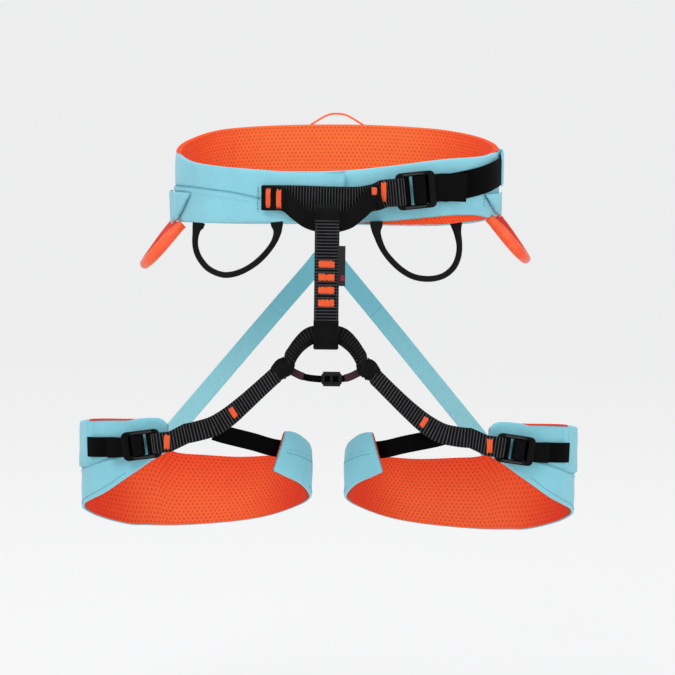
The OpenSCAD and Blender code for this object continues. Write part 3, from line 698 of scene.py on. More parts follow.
# painted highlight: these light colours stand for light catching the buckle frames' sides, with random
# lighter patches
anodised_metal("wear_and_highlight", srgb(46, 41, 42), srgb(78, 74, 75), 0.25)
moulded_plastic("plastic", srgb(14, 14, 15))
cord_sheath("cord", srgb(12, 12, 13))
cord_sheath("haul", srgb(246, 118, 70), 0.8)
clear_moulding("moulded", 126)


def dress(obj, look, body, replaces=()):
    """Gives a finished piece its material slot and its CAD body, and hides the CAD nodes that it stands for.
    """
    obj.data.materials.clear()
    obj.data.materials.append(LOOKS[look])
    if body:
        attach(obj, body)
    if replaces:
        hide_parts(*replaces)
    return obj


# ---------------- pads

PAD_STEP, CLOTH_STEP, CLOTH_COUNT, CLOTH_FRAMES = 1.35, 5, 13, 20
LINER_T = 1.1


def swollen(grid, pinned, cap=1.4):
    """How far each point of a closed pad moves when pressure fills it as cloth, up to cap millimetres."""
    pad = outward(new_object("swelling", grid.reshape(-1, 3), stack_faces(*grid.shape[:2])))
    group = pad.vertex_groups.new(name="sewn")
    group.add([int(i) for i in np.flatnonzero(pinned.ravel())], 1.0, "REPLACE")
    cloth = pad.modifiers.new("cloth", "CLOTH")
    configure(cloth.settings, quality=6, mass=0.2, tension_stiffness=12, compression_stiffness=12,
              bending_stiffness=0.4, use_pressure=True, uniform_pressure_force=4, vertex_group_mass="sewn")
    cloth.settings.effector_weights.gravity = 0
    cloth.collision_settings.use_collision = False
    configure(cloth.point_cache, frame_start=1, frame_end=CLOTH_FRAMES)
    scene = bpy.context.scene
    for number in range(1, CLOTH_FRAMES + 1):
        scene.frame_set(number)
    shaped = pad.evaluated_get(bpy.context.evaluated_depsgraph_get()).to_mesh()
    after = np.zeros(len(shaped.vertices)*3, np.float32)
    shaped.vertices.foreach_get("co", after)
    move = after.reshape(grid.shape)/MM - grid
    bpy.data.objects.remove(pad)
    scene.frame_set(1)
    length = np.linalg.norm(move, axis=-1, keepdims=True)
    return move*np.minimum(1, cap/np.maximum(length, 1e-9))


def between(values, at, eased=False):
    """Rows of an array read at fractional positions, with a smooth or a straight change between them."""
    a = np.clip(np.floor(at).astype(int), 0, len(values) - 2)
    f = (at - a).reshape(-1, *[1]*(values.ndim - 1))
    if eased:
        f = f*f*(3 - 2*f)
    return values[a]*(1 - f) + values[a + 1]*f


def upsampled(move, rows, columns):
    """A coarse grid of moves read at a finer one; the columns run round."""
    wrapped = np.concatenate([move, move[:, :1]], axis=1)
    finer = between(wrapped, np.linspace(0, len(move) - 1, rows), eased=True).swapaxes(0, 1)
    return between(finer, np.linspace(0, move.shape[1], columns, endpoint=False), eased=True).swapaxes(0, 1)


def pad_section(count):
    """Positions round a pad: share of the height, and side: +1 outside going up, -1 inside going down."""
    even = np.linspace(0, 1, count)
    share = 0.55*even + 0.45*(0.5 - 0.5*np.cos(math.pi*even))
    heights = np.concatenate([share[:-1], share[::-1][:-1]])
    return heights, np.repeat([1.0, -1.0], count - 1)


def columns_at(order, values):
    """Values round one section of a pad, read at fractional columns that may run on past its first one."""
    return between(np.concatenate([values, values, values[:1]]), order)


class Pad:
    """A padded band: its surface by angle and height, with rounded edges and a crowned middle.

    point places it, rows gives its edges, and level is the height at which its lengths are measured.
    """

    def __init__(self, point, rows, level, thickness, edge, taper, count, short=0):
        self.point, self.rows, self.half = point, rows, thickness/2
        self.edge, self.taper, self.count, self.short = edge, taper, count, short
        self.first, self.last = rows[0][0], rows[-1][0]
        self.angles = np.linspace(self.first, self.last, 800)
        self.reached = arc_lengths(point(self.angles, np.full(800, float(level)), np.zeros(800)))

    def run(self, t):
        """Length reached along the band at an angle."""
        return np.interp(t, self.angles, self.reached)

    def beside(self, line, t, z, run=None):
        """Distance above a line of (angle, height)."""
        run = self.run(t) if run is None else run
        return distance_to_line(run, z, [[self.run(angle), height] for angle, height in line])

    def edge_line(self, angles, upper, inset):
        """A line along the upper or the lower edge, inset millimetres inside it."""
        column, sign = (0, -1) if upper else (1, 1)
        return [[t, float(along(self.rows, [t])[0, column]) + sign*inset] for t in angles]

    def surface(self, t, heights, sides, shrink=0.0, relief=None):
        """Points round the band at each angle t, the length reached there, and the points' heights."""
        edge = along(self.rows, t)
        bottom = edge[:, 1:]
        height = edge[:, :1] - bottom
        z = bottom + height*heights
        to_edge = np.minimum(heights, 1 - heights)*height
        run = arc_lengths(self.point(t, edge.mean(1), np.zeros_like(t)))
        to_end = np.minimum(run, (run[-1] - run)*self.edge/self.taper)[:, None]
        full = np.sqrt(np.maximum(0, 1 - (1 - np.clip(to_edge/self.edge, 0, 1))**2))
        full = full*np.sqrt(np.maximum(0.02, 1 - (1 - np.clip(to_end/self.edge, 0, 1))**2))
        crown = 1 - 0.22*np.abs(2*heights - 1)**4
        d = sides*(self.half - shrink)*full*crown
        if relief is not None:
            d = d + relief(t[:, None], z, run[:, None])*(sides > 0)*np.clip(full, 0, 1)
        return self.point(np.broadcast_to(t[:, None], z.shape), z, d), run, z

    def swelling(self, length, pins, shrink=1.2):
        """Moves of a coarse copy that is shrunk and then filled as cloth."""
        t = np.linspace(self.first, self.last, int(length/CLOTH_STEP) + 1)
        heights, sides = pad_section(CLOTH_COUNT)
        low, _, z = self.surface(t, heights, sides, shrink)
        pinned = (heights < 0.01) | (heights > 0.99) | pins(t[:, None], z, sides[None, :])
        pinned[[0, -1]] = True
        return low + swollen(low, pinned) - self.surface(t, heights, sides)[0]

    def build(self, pins, relief):
        """Works out the surface and its normals. pins says what is sewn down; relief shapes the outside."""
        middle = self.point(np.linspace(self.first, self.last, 400), np.zeros(400), np.zeros(400))
        length = arc_lengths(middle)[-1]
        self.t = np.linspace(self.first, self.last, int(length/PAD_STEP) + 1)
        heights, sides = pad_section(self.count)
        self.start, self.lengths, _ = self.surface(self.t, heights, sides, 0.0, relief)
        self.start = self.start + upsampled(self.swelling(length, pins), *self.start.shape[:2])
        round_v = np.roll(self.start, -1, axis=1) - np.roll(self.start, 1, axis=1)
        normal = unit(np.cross(np.gradient(self.start, axis=0), round_v))
        outwards = (normal[:, self.count//2]*oval_out(self.t, 1, 1, 2)).sum(-1).mean()
        self.normal = normal*np.sign(outwards)

    def pieces(self, prefix, lip, brim, cloth, mesh, body, nodes, turn=unmoved):
        """The outer cover with its filling, and the perforated liner, as two closed pieces.

        The liner runs from brim columns past the top edge (outside if negative) to lip columns round the
        lower one, and stops short sections before the last end. turn moves the finished points.
        """
        columns = self.start.shape[1]
        first, last = self.count - 1 + brim(self.t), columns + lip(self.t)
        cover = self.start.copy()
        place = np.arange(columns)
        front, back = [], []
        for i in range(len(cover) - self.short):
            under = np.clip(place + 0.5 - first[i], 0, 1)
            under += np.clip(last[i] - columns - place, 0, 1)*(place < self.count)
            cover[i] -= self.normal[i]*((LINER_T + 0.25)*np.clip(under, 0, 1))[:, None]
            order = np.linspace(first[i], last[i], self.count + 6)
            surface = columns_at(order, self.start[i])
            direction = unit(columns_at(order, self.normal[i]))
            rim = 0.3*bump(order - last[i], 0.9)[:, None]
            front.append(surface + direction*(0.12 + rim))
            back.append(surface - direction*LINER_T)
        liner = np.concatenate([np.array(front), np.array(back)[:, ::-1]], axis=1)
        v_front = arc_lengths(front[len(front)//3])
        v_liner = np.concatenate([v_front, v_front[::-1] + 3])
        v_cover = arc_lengths(self.start[len(self.start)//3])
        shown = grid_object(prefix + "_cover", turn(cover), self.lengths, v_cover)
        dress(shown, cloth, body, nodes[:2])
        lining = grid_object(prefix + "_lining", turn(liner), self.lengths[:len(front)], v_liner)
        dress(lining, mesh, body, nodes[2:])

    def on(self, line):
        """Points and normals on the outside along a line of (angle, height)."""
        line = smooth_line(line, 14)
        edge = along(self.rows, line[:, 0])
        share = (line[:, 1] - edge[:, 1])/(edge[:, 0] - edge[:, 1])
        i = np.interp(line[:, 0], self.t, np.arange(len(self.t)))
        j = np.interp(share, pad_section(self.count)[0][:self.count], np.arange(self.count))
        a, b = np.clip(i.astype(int), 0, len(self.t) - 2), np.clip(j.astype(int), 0, self.count - 2)
        fa, fb = (i - a)[:, None], (j - b)[:, None]

        def read(field):
            one, two = (field[k, b]*(1 - fb) + field[k, b + 1]*fb for k in (a, a + 1))
            return one*(1 - fa) + two*fa

        return read(self.start), unit(read(self.normal))


# ---------------- sewing


def stitches(points, normals, length=2.1, gap=1.1, radius=0.3, proud=0.1):
    """A dashed line of thread along points, as parts for joined()."""
    points = np.asarray(points, float)
    normals = np.broadcast_to(np.asarray(normals, float), points.shape)
    run = arc_lengths(points)
    rise = proud + 0.28*np.sin(np.linspace(0, math.pi, 5)) - 0.2
    size = radius*np.array([0.55, 0.95, 1, 0.95, 0.55])
    parts, at = [], gap/2
    while at + length < run[-1]:
        where = np.linspace(at, at + length, 5)
        out = unit(read_at(where, run, normals))
        parts.append(tube(read_at(where, run, points) + out*rise[:, None], size))
        at += length + gap
    return parts


def bar_tack(centre, across, up, out, width, height, passes, ragged=0.3):
    """A dense row of threads side by side with uneven ends; they run along up and step along across."""
    centre, across, up, out = (np.asarray(v, float) for v in (centre, across, up, out))
    parts = []
    pitch = width/passes
    for k in range(passes):
        low, high = (height/2*(1 + ragged*rng.uniform(-0.5, 0.3)) for _ in range(2))
        at = centre + across*((k + 0.5)*pitch - width/2)
        along_up = np.linspace(-low, high, 6)
        rise = 0.42*np.array([-0.5, 0.7, 1, 1, 0.7, -0.5]) + rng.uniform(-0.07, 0.07)
        thread = at + up*along_up[:, None] + across*rng.uniform(-0.1, 0.1, 6)[:, None] + out*rise[:, None]
        parts.append(tube(thread, pitch*0.68))
    return parts


def sew(name, pad, lines, body, turn=unmoved, **how):
    """Blue thread along lines on a pad's outside."""
    parts = []
    for line in lines:
        points, normals = pad.on(line)
        parts += stitches(turn(points), turn(points + normals) - turn(points), **how)
    dress(joined(name, parts), "blue_thread", body)


def outward_from(direction, reference):
    return direction if direction @ np.asarray(reference, float) > 0 else -direction


def tack_on(band, x, width, height, lift, up_shift=0.0, upright=True):
    """Bar tack of 8 threads lying on a strap where the strap passes x, upright or square to the strap."""
    centre, across, face = band.at_x(x)
    face = outward_from(face, AHEAD)
    up = outward_from(UP if upright else across, UP)
    up = unit(up - face*(up @ face))
    return bar_tack(centre + face*lift + up*up_shift, np.cross(up, face), up, face, width, height, 8)


# ---------------- webbing


def ridge(x, pitch):
    """Height of a rib, from 0 to 1."""
    return (0.5 - 0.5*math.cos(2*math.pi*x/pitch))**1.5


def raised(section, height, width):
    """A section whose faces are moved outwards by height, fading to nothing at its two edges."""
    selvedge = ramp(np.abs(section[:, 0]), width/2, width/2 - 1.2)
    return section + np.column_stack([0*selvedge, np.sign(section[:, 1])*height*selvedge])


def rib_lengths(run, pitch):
    """Lengths for the ribbed material, whose painted highlights then lie on the tops of the ribs."""
    return (np.asarray(run)/pitch - 0.25)*RIB


def strap(name, node, look, body, hint=UP, pitch=0.0, rib=0.32, edge=0.55, step=1.5,
          extra=None, reach=(0.02, 0.02), moved=None, begin=None):
    """Webbing over a CAD band, from the end nearer to begin. A pitch gives it ribs."""
    band = read_band(node, hint, pitch/6 if pitch else step, reach, begin)
    grid = []
    for i, at in enumerate(band.run):
        section = rounded(band.width[i], band.thickness[i], edge, 5)
        if pitch:
            section = raised(section, rib*(ridge(at, pitch) - 0.6), band.width[i])
        if extra is not None:
            section = extra(section, min(at, band.length - at), band.width[i])
        grid.append(band.lay(i, section))
    grid = np.array(grid)
    if moved is not None:
        grid = moved(grid)
    u = rib_lengths(band.run, pitch) if pitch else band.run
    obj = grid_object(name, grid, u, around(band.width.mean(), band.thickness.mean(), edge, 5))
    return dress(obj, look, body, (node,)), band


def blend_along(obj, band, first, last):
    """Bakes a strap's transform into its mesh. The points at the lengths first and last along it are worked
    out but not used, so nothing is blended.
    """
    band.at(first)[0]*MM
    band.at(last)[0]*MM
    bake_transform(obj)


# ---------------- waist belt

belt = Pad(belt_point, WAIST_ROWS, 0, WAIST_T, 3.4, 16, 62, short=7)
BELT_FOLD = [[181, -1.2], [186, -1.6], [209, -1.8], [222, -3.4], [233, -5.3], [245, -9.7], [252, -12.5]]
BELT_CREASE = [[244, -20], [252, -24], [262, -27]]
BACK_SEAM = [[-14, 3], [10, 4], [45, 6], [90, 8], [135, 7], [165, 3], [181, -1.2]]
WAIST_LIP = [  # angle, share of the height that the liner covers outside
    [-112, 0.015], [-92, 0.015], [-75, 0.07], [-52, 0.12], [-36, 0.1], [-22, 0.03], [-10, 0.015],
    [272, 0.015],
]


def waves(u, z, seed, size, lengths):
    """Soft creases: a few crossed sine waves with seeded directions."""
    dice = np.random.default_rng(seed)
    total = np.zeros(np.broadcast(u, z).shape)
    for length in lengths:
        turn = dice.uniform(0, math.pi)
        shift = dice.uniform(0, 2*math.pi)
        k = 2*math.pi/length
        total = total + np.sin(k*(u*math.cos(turn) + z*math.sin(turn)) + shift + 1.3*np.sin(u/31 + shift))
    return size*total/len(lengths)


def belt_relief(t, z, run):
    fold = belt.beside(BELT_FOLD, t, z, run)
    seam = belt.beside(BACK_SEAM, t, z, run)
    on_fold = ramp(t, 256, 242)*(t > 170)
    front_left = stretch(t, 176, 186, 262, 270)
    folded = (1.2*bump(fold + 2.6, 1.7) - 1.7*bump(fold, 1.1))*on_fold
    sewn = 0.2*bump(np.abs(seam) - 2.2, 1.2) - 0.7*bump(seam, 1.1)
    end_turned_in = -6.5*ramp(t, 261, 272)**2
    soft = waves(run, z*1.6, 3, 0.5, (58, 37, 24))*(0.35 + 0.65*front_left)
    return folded + sewn + end_turned_in + soft - 0.5*bump(belt.beside(BELT_CREASE, t, z, run), 1.6)


def belt_lip(t):
    share = along(WAIST_LIP, t)[..., 0]
    behind = stretch(t, 20, 40, 215, 235)
    return np.where(share > 0.016, (share - 0.016)*belt.count*1.8, 0) - 1.2 - 3*behind


def belt_brim(t):
    """The liner shows over the top edge behind, and stays inside it in front."""
    return 2.5 - 4.6*stretch(t, -22, -8, 182, 196)


def belt_pins(t, z, sides):
    fold = np.abs(belt.beside(BELT_FOLD, t, z))
    seam = np.abs(belt.beside(BACK_SEAM, t, z))
    under_webbing = (t > 238) & (z < 4) & (z > -22)
    return ((fold < 3) | (seam < 3.4) | under_webbing) & (sides > 0)


def shifted(line, dz):
    return [[t, z + dz] for t, z in line]


belt.build(belt_pins, belt_relief)
belt.pieces("belt", belt_lip, belt_brim, "belt_blue", "liner", "waist_belt",
            ("waist_shell", "waist_foam", "waist_liner"))
sew("belt_fold_stitching", belt,
    [shifted(BELT_FOLD[:6], 0.9), [[243.9, 0.5], [243.9, -19]], [[-27.9, -2], [-27.8, -15]]],
    "waist_belt", length=1.7, gap=0.9, radius=0.42)
sew("belt_seam_stitching", belt,
    [shifted(BACK_SEAM[:-1], 1.9), shifted(BACK_SEAM[:-1], -1.9),
     belt.edge_line((12, 45, 90, 135, 168), False, 4.2),
     belt.edge_line((-20, 12, 45, 90, 135, 172), True, 4.2)],
    "waist_belt", length=2.2, gap=1.0, radius=0.28)


def side_flap(name, node, root, last, stand):
    """Pleated flap over the root of a rear gear loop. It narrows downwards, towards the angle root."""
    low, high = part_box(node)
    bottom, top = low[2]/MM, high[2]/MM
    share, side = two_sided(24)
    grid = []
    for k in np.linspace(0, 1, 48):
        edge = max(0, math.sin(math.pi*k))**0.6
        foot = bottom + 5.2*k**1.3
        z = foot + (top - 1.2*k - foot)*share
        t = root + (last - root)*(0.08 + k*0.92 - 0.42*k*(1 - share)**1.4)
        pleat = 0.9*np.cos(5.3*math.pi*k + 0.5*share)*edge*(0.5 + 0.5*share)
        body_line = WAIST_T/2 + 0.7 + stand*edge*(0.35 + 0.65*share)
        grid.append(belt_point(t, z, body_line + pleat + 0.6*side*(0.25 + 0.75*soft_rim(share))))
    flap = grid_object(name, grid, arc_lengths(np.array(grid)[:, 20]), arc_lengths(grid[20]))
    dress(flap, "belt_blue", "waist_belt", (node,))
    up = np.linspace(0.12, 0.9, 16)
    t = root + (last - root)*(0.99 - 0.42*(1 - up)**1.4)
    line = belt_point(t, bottom + 6 + (top - bottom - 8)*up, np.full(16, WAIST_T/2 + 1.5))
    thread = stitches(line, belt_out(t), length=1.7, gap=0.9, radius=0.34)
    dress(joined(name + "_stitching", thread), "blue_thread", "waist_belt")


side_flap("side_flap_left", "side_tab_left", 179, 209.5, 3.4)
side_flap("side_flap_right", "side_tab_right", -3, -28, 1.6)


def sleeve(first=-11, last=16.5, tilt=3, past=4):
    """Blue panel over the waist strap where it leaves the belt, between two angles."""
    low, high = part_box("strap_sleeve")
    share, side = two_sided(20)
    width = (high[2] - low[2])/MM + past
    grid = []
    for angle in np.linspace(first, last, 40):
        z = low[2]/MM + tilt*(angle - first)/(last - first) + (width - tilt)*share
        hem = 0.35*bump(angle - first - 1, 1.5)
        d = WAIST_T/2 + 1.9 + hem + soft_rim(share)*(0.7*side + 0.25*math.sin(angle*1.1))
        grid.append(belt_point(np.full(40, angle), z, d))
    panel = grid_object("strap_sleeve_panel", grid, arc_lengths(np.array(grid)[:, 10]), arc_lengths(grid[20]))
    dress(panel, "belt_blue", "waist_belt", ("strap_sleeve",))


# ---------------- tie-in points on the belt


def sling_section(section, to_end, width):
    """Soft middle with a bound edge on each side."""
    a = np.abs(section[:, 0])/(width/2)
    middle = np.clip(1 - (a/0.66)**4, 0, 1)
    swell = 0.35*bump(a - 0.84, 0.13) + 0.3*middle - 0.3*bump(a - 0.68, 0.05)
    return section + np.column_stack([0*a, np.sign(section[:, 1])*ramp(to_end, 0, 16)*swell])


webbing = strap("front_webbing", "tie_in_webbing", "ribbed", "waist_belt", pitch=2.35, rib=0.36)[1]
sling = strap("tie_in_sling_cover", "tie_in_sling", "sling", "waist_belt", step=1.4, edge=1.3,
              extra=sling_section, reach=(0.5, 2.5))[1]
tacks = tack_on(sling, -55.4, 3.8, 15.5, 1.75)
tacks += tack_on(sling, -46.6, 4.2, 15, 1.75, -0.3)
tacks += tack_on(webbing, 38.4, 4.2, 16, 1.2, 1.0)
tacks += tack_on(sling, 30.2, 4.2, 6, 1.7, 5.4)
dress(joined("front_bar_tacks", tacks), "tack", "waist_belt")

hook = frame["nodes"]["riser_hook"]
hook.data.materials.clear()
hook.data.materials.append(LOOKS["plastic"])
configure(hook.modifiers.new("weld", "WELD"), merge_threshold=0.01*MM)
configure(hook.modifiers.new("bevel", "BEVEL"), width=0.5*MM, segments=3, limit_method="ANGLE")

# ---------------- straps with buckles

SEAT = 3.0  # how far the worn slider sits towards the end bar, for looks
WAIST_STRAP_ROOT = (135, 28, 17)
JOINTS = {j["name"]: j for j in frame["joints"]}


def rounded_corners(x0, x1, y0, y1, radius, steps=6):
    points = []
    for cx, cy, start in ((x1 - radius, y1 - radius, 0), (x0 + radius, y1 - radius, 90),
                          (x0 + radius, y0 + radius, 180), (x1 - radius, y0 + radius, 270)):
        for k in range(steps + 1):
            a = math.radians(start + 90*k/steps)
            points.append((cx + radius*math.cos(a), cy + radius*math.sin(a)))
    return points


def plate(outlines, half_thickness, soft):
    """Solid plate with rounded edges; the first outline is its outside and the others are holes."""
    curve = bpy.data.curves.new("plate", "CURVE")
    configure(curve, dimensions="2D", fill_mode="BOTH", extrude=half_thickness - soft, bevel_depth=soft,
              bevel_resolution=4)
    for outline in outlines:
        spline = curve.splines.new("POLY")
        spline.points.add(len(outline) - 1)
        for point, (x, y) in zip(spline.points, outline):
            point.co = (x, y, 0, 1)
        spline.use_cyclic_u = True
    holder = bpy.data.objects.new("plate", curve)
    bpy.context.scene.collection.objects.link(holder)
    mesh = bpy.data.meshes.new_from_object(holder)
    bpy.data.objects.remove(holder)
    vertices = np.array([v.co[:] for v in mesh.vertices])
    faces = [tuple(p.vertices) for p in mesh.polygons]
    bpy.data.meshes.remove(mesh)
    return vertices, faces


def cut_out(name, parts):
    """One object out of plates, with their corners joined up and their edges kept sharp."""
    obj = outward(joined(name, parts), weld=0.02*MM)
    obj.data.polygons.foreach_set("use_smooth", [True]*len(obj.data.polygons))
    return hard_edged(obj)


class Place:
    """Where a buckle is, from its two joints: x runs towards its end bar and z away from the wearer."""

    def __init__(self, tilt, slide):
        self.x = -unit(JOINTS[slide]["axis"])
        self.y = unit(JOINTS[tilt]["axis"])
        self.z = outward_from(np.cross(self.x, self.y), AHEAD)
        self.origin = np.array(JOINTS[tilt]["pos_m"])/MM - self.x*BAR_X

    def put(self, points):
        points = np.asarray(points, float)
        return self.origin + points[:, :1]*self.x + points[:, 1:2]*self.y + points[:, 2:3]*self.z

    def seated(self, points):
        """Moves the fold round the slider with it, inside the frame's window, and closes it up."""
        reach = (points - self.origin) @ self.x
        share = ramp(reach, 9.5, 4.5)
        shift = SEAT*share*share*(3 - 2*share) + 0.25*np.clip(4.5 - reach, 0, 14)
        return points + self.x*shift[..., None]


def buckle_frame(name, place, inside, body, node, side_bar=3, half_bar=2, half_thickness=2.3, soft=1.3):
    """The frame with its window, thicker at the end bar. Its edges are rounded by soft."""
    outer_y, inner_y = inside + side_bar - soft, inside + soft*0.6
    outline = rounded_corners(BAR_X - half_bar + soft, FRAME_END_X - soft, -outer_y, outer_y, 3.2)
    window = rounded_corners(BAR_X + half_bar - soft, END_BAR_X + soft, -inner_y, inner_y, 1.6)
    points, faces = plate([outline, window[::-1]], half_thickness, soft)
    z = points[:, 2]
    thicker = 0.55*ramp(points[:, 0], 4, 16)*np.sign(z)*ramp(np.abs(z), 0.8, 1.8)
    shaped = points + np.column_stack([0*z, 0*z, thicker])
    dress(cut_out(name, [(place.put(shaped), faces)]), "metal", body, (node,))


def buckle_trim(prefix, place, inside, body):
    """Rails along the two sides, painted lighter than the frame as a highlight, and ridges across the end
    bar.
    """
    rails, dashes = [], []
    x = np.linspace(-11, 8, 9)
    z = 2.2 + 0.15*np.sin((x + 12)/22*math.pi)
    for side in (-1, 1):
        points, faces = tube(np.column_stack([x, np.full(9, side*(inside + 1.2)), z]), 0.95, 10, 0.45)
        rails.append((place.put(points), faces))
    for y in np.arange(2.2 - inside, inside - 2.2, 2.0):
        dash = [(FRAME_END_X - 2.7, y + k*0.3, 2.75) for k in range(5)]
        points, faces = tube(dash, 0.24*np.array([0.6, 1, 1, 1, 0.6]))
        dashes.append((place.put(points), faces))
    # the rails' colour is a painted highlight
    dress(joined(prefix + "_rails", rails), "wear_and_highlight", body)
    dress(joined(prefix + "_ridges", dashes), "plastic", body)


def buckle_slider(name, place, inside, body, node):
    """Sliding bar: thick between the frame's sides, with flat ends that reach over them."""
    ends = [(-1.4, 4.6, 1.2), (-1.3, 5.2, 1.6), (0.4, 5.2, 1.6), (0.6, 5.6, 3.0)]
    rows, ys = [], []
    for side, shapes in ((-1, ends), (1, ends[::-1])):
        for past, width, thickness in shapes:
            section = rounded(width, thickness, thickness/2*0.9, 4)
            y = side*(inside - past)
            rows.append(place.put([(x + 0.2 + SEAT, y, z) for x, z in section]))
            ys.append(y + 40)
    bar = hard_edged(grid_object(name, rows, ys, np.arange(len(rows[0]))))
    dress(bar, "metal", body, (node,))


def folded_webbing(name, place, web, body, pitch=2.3, thickness=5.0, edge=2.2, nose=2.0):
    """Bulk of the fixed webbing where it is folded back, seen in the frame's window."""
    for part, look, first, last in (("turn", "ribbed", -12.0, -7.6), ("end", "flat", -9.0, -4.8)):
        lengths = np.linspace(first, last, 20)
        grid = []
        for x in lengths:
            full = math.sqrt(max(0.02, 1 - max(0, (x - last + nose)/nose)**2))
            section = rounded(web + 0.7, thickness*full, edge*full, 5)
            if look == "ribbed":
                section[:, 1] += np.sign(section[:, 1])*0.3*(ridge(x, pitch) - 0.6)
            grid.append(place.put([(x, y, z) for y, z in section]))
        u = rib_lengths(lengths + 10*pitch, pitch)
        v = around(web, thickness, edge, 5)
        dress(grid_object(f"{name}_{part}", grid, u, v), look, body)


def slider_fold(name, node, place):
    """The strap's turn round the slider, shifted once with the seated slider; it is attached to no body."""
    shown = strap(name, node, "worn", None, step=0.7, moved=place.seated)[0]
    start, end = place.put([[9, 0, 0], [5, 0, 0]])*MM
    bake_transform(shown)


def buckle(kind, side, web):
    """A buckle's frame, trim and sliding bar. Returns its place."""
    place = Place(f"{kind}_buckle{side}_tilt", f"{kind}_slider{side}_slide")
    prefix, inside = f"{kind}_buckle{side}", web/2 + 0.7
    buckle_frame(prefix + "_frame", place, inside, prefix, f"{kind}_buckle_frame{side}")
    buckle_trim(prefix, place, inside, prefix)
    buckle_slider(prefix + "_slider", place, inside, f"{kind}_slider{side}", f"{kind}_buckle_slider{side}")
    return place


tail, band = strap("waist_strap_tape", "waist_strap", "flat", None, step=1.6,
                   begin=WAIST_STRAP_ROOT)
blend_along(tail, band, band.length - 34, band.length - 2)
sleeve()
waist_place = buckle("waist", "", 23)
folded_webbing("waist_webbing_fold", waist_place, WAIST_WEB, "waist_belt")
slider_fold("waist_strap_fold", "waist_strap_wrap", waist_place)

# ---------------- belay loop

BELAY_T = 3.6
BELAY_TACKS = (-60.9, -71.5, -82.0, -92.4)  # heights of the bar tacks on its front
belay_low, belay_high = (np.array(c)/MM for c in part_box("belay_loop"))
belay_r = (belay_high[1] - belay_low[1])/2
belay_middle = (belay_low + belay_high)/2
belay_width = belay_high[0] - belay_low[0]
belay_straight = belay_high[2] - belay_low[2] - 2*belay_r
belay_bend = math.pi*(belay_r - BELAY_T/2)
belay_length = 2*(belay_straight + belay_bend)
belay_front = belay_middle[1] - belay_r


def belay_place(s):
    """Y and Z of the belay loop's middle and its outward direction, down the front and up the back."""
    half, radius = belay_straight/2, belay_r - BELAY_T/2
    sign = 1 if s < belay_length/2 else -1
    rest = s % (belay_length/2)
    if rest < belay_straight:
        out = np.array([-1.0, 0])
        return sign*np.array([-radius, half - rest]) + belay_middle[1:], sign*out
    a = (rest - belay_straight)/radius
    out = np.array([-math.cos(a), -math.sin(a)])
    return sign*(out*radius + [0, -half]) + belay_middle[1:], sign*out


def belay_band(lengths, width, thickness, edge, rib):
    """Webbing that follows the belay loop over the given lengths, with ribs of the height rib(length)."""
    grid = []
    for s in lengths:
        middle, out = belay_place(s % belay_length)
        section = raised(rounded(width, thickness, edge, 6), rib(s), width)
        grid.append(np.column_stack([belay_middle[0] + section[:, 0], middle + section[:, 1:]*out]))
    return grid, arc_lengths(section)


def belay():
    """Sewn ring of ribbed webbing with smooth wraps round both bends and bar tacks on the front."""
    count = round(belay_length/2.6)
    pitch = belay_length/count
    lengths = np.arange(6*count)*belay_length/(6*count)
    grid, v = belay_band(lengths, belay_width, BELAY_T, 1.3, lambda s: 0.42*(ridge(s, pitch) - 0.8))
    loop = grid_object("belay_loop_webbing", grid, rib_lengths(lengths, pitch), v, closed=True)
    dress(loop, "ribbed", "belay", ("belay_loop",))
    for name, first, last in (("top", belay_length - belay_bend - 3, belay_length + 3.5),
                              ("lower", belay_straight - 15, belay_straight + belay_bend + 6)):
        spots = np.linspace(first, last, 40)
        grid, v = belay_band(spots, belay_width + 0.5, BELAY_T + 0.75, 1.5, lambda s: 0.05*math.sin(s*1.7))
        dress(grid_object(f"belay_wrap_{name}", grid, spots, v), "sling", "belay")
    tacks, edges = [], []
    for z in BELAY_TACKS:
        centre = (belay_middle[0] - 0.2, belay_front + 0.05, z)
        tacks += bar_tack(centre, (1, 0, 0), UP, AHEAD, width=12.8, height=5.6, passes=24)
    dress(joined("belay_bar_tacks", tacks), "tack", "belay")
    half = belay_straight/2
    for side in (-1, 1):
        x = belay_middle[0] + side*(belay_width/2 - 1.6)
        line = [(x, belay_front, belay_middle[2] + z) for z in np.linspace(12 - half, half - 5, 40)]
        edges += stitches(line, AHEAD, length=1.8, gap=0.9, radius=0.22, proud=0.05)
    dress(joined("belay_edge_stitching", edges), "dark_thread", "belay")


belay()


def flat_sheet(name, points_of, columns, rows, thickness, middle, look, nodes=()):
    """Closed thin upright sheet: points_of(a, b) gives its middle, a and b from 0 to 1."""
    sheet = np.array([[points_of(a, b) for a in np.linspace(0, 1, columns)] for b in np.linspace(0, 1, rows)])
    half = AHEAD*thickness/2
    grid = np.concatenate([sheet + half, (sheet - half)[:, ::-1]], axis=1)
    obj = grid_object(name, grid, arc_lengths(grid[:, 3]), arc_lengths(grid[middle]))
    dress(obj, look, "belay", nodes)


def label():
    """Blank woven label with a plain patch, sewn into the belay loop's edge."""
    low, high = (np.array(c)/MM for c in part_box("belay_label"))

    def curled(a, b):
        x, y, z = low + (high - low)*[a, 0.5, b]
        return np.array([x, y - 0.5*a*a*math.sin(3*b + 0.4), z])

    def patch(a, b):
        return curled(0.42 + 0.5*a, 0.13 + 0.14*b) + AHEAD*0.35

    flat_sheet("belay_label_tag", curled, 12, 30, 0.5, 10, "label", ("belay_label",))
    flat_sheet("belay_label_patch", patch, 8, 8, 0.3, 4, "patch")
    rim = smooth_line([curled(0.93, b) + AHEAD*0.25 for b in (0.03, 0.5, 0.97)], 12)
    thread = stitches(rim, AHEAD, length=1.0, gap=0.6, radius=0.13)
    dress(joined("belay_label_stitching", thread), "dark_thread", "belay")


label()

# ---------------- lower ring, crotch strap

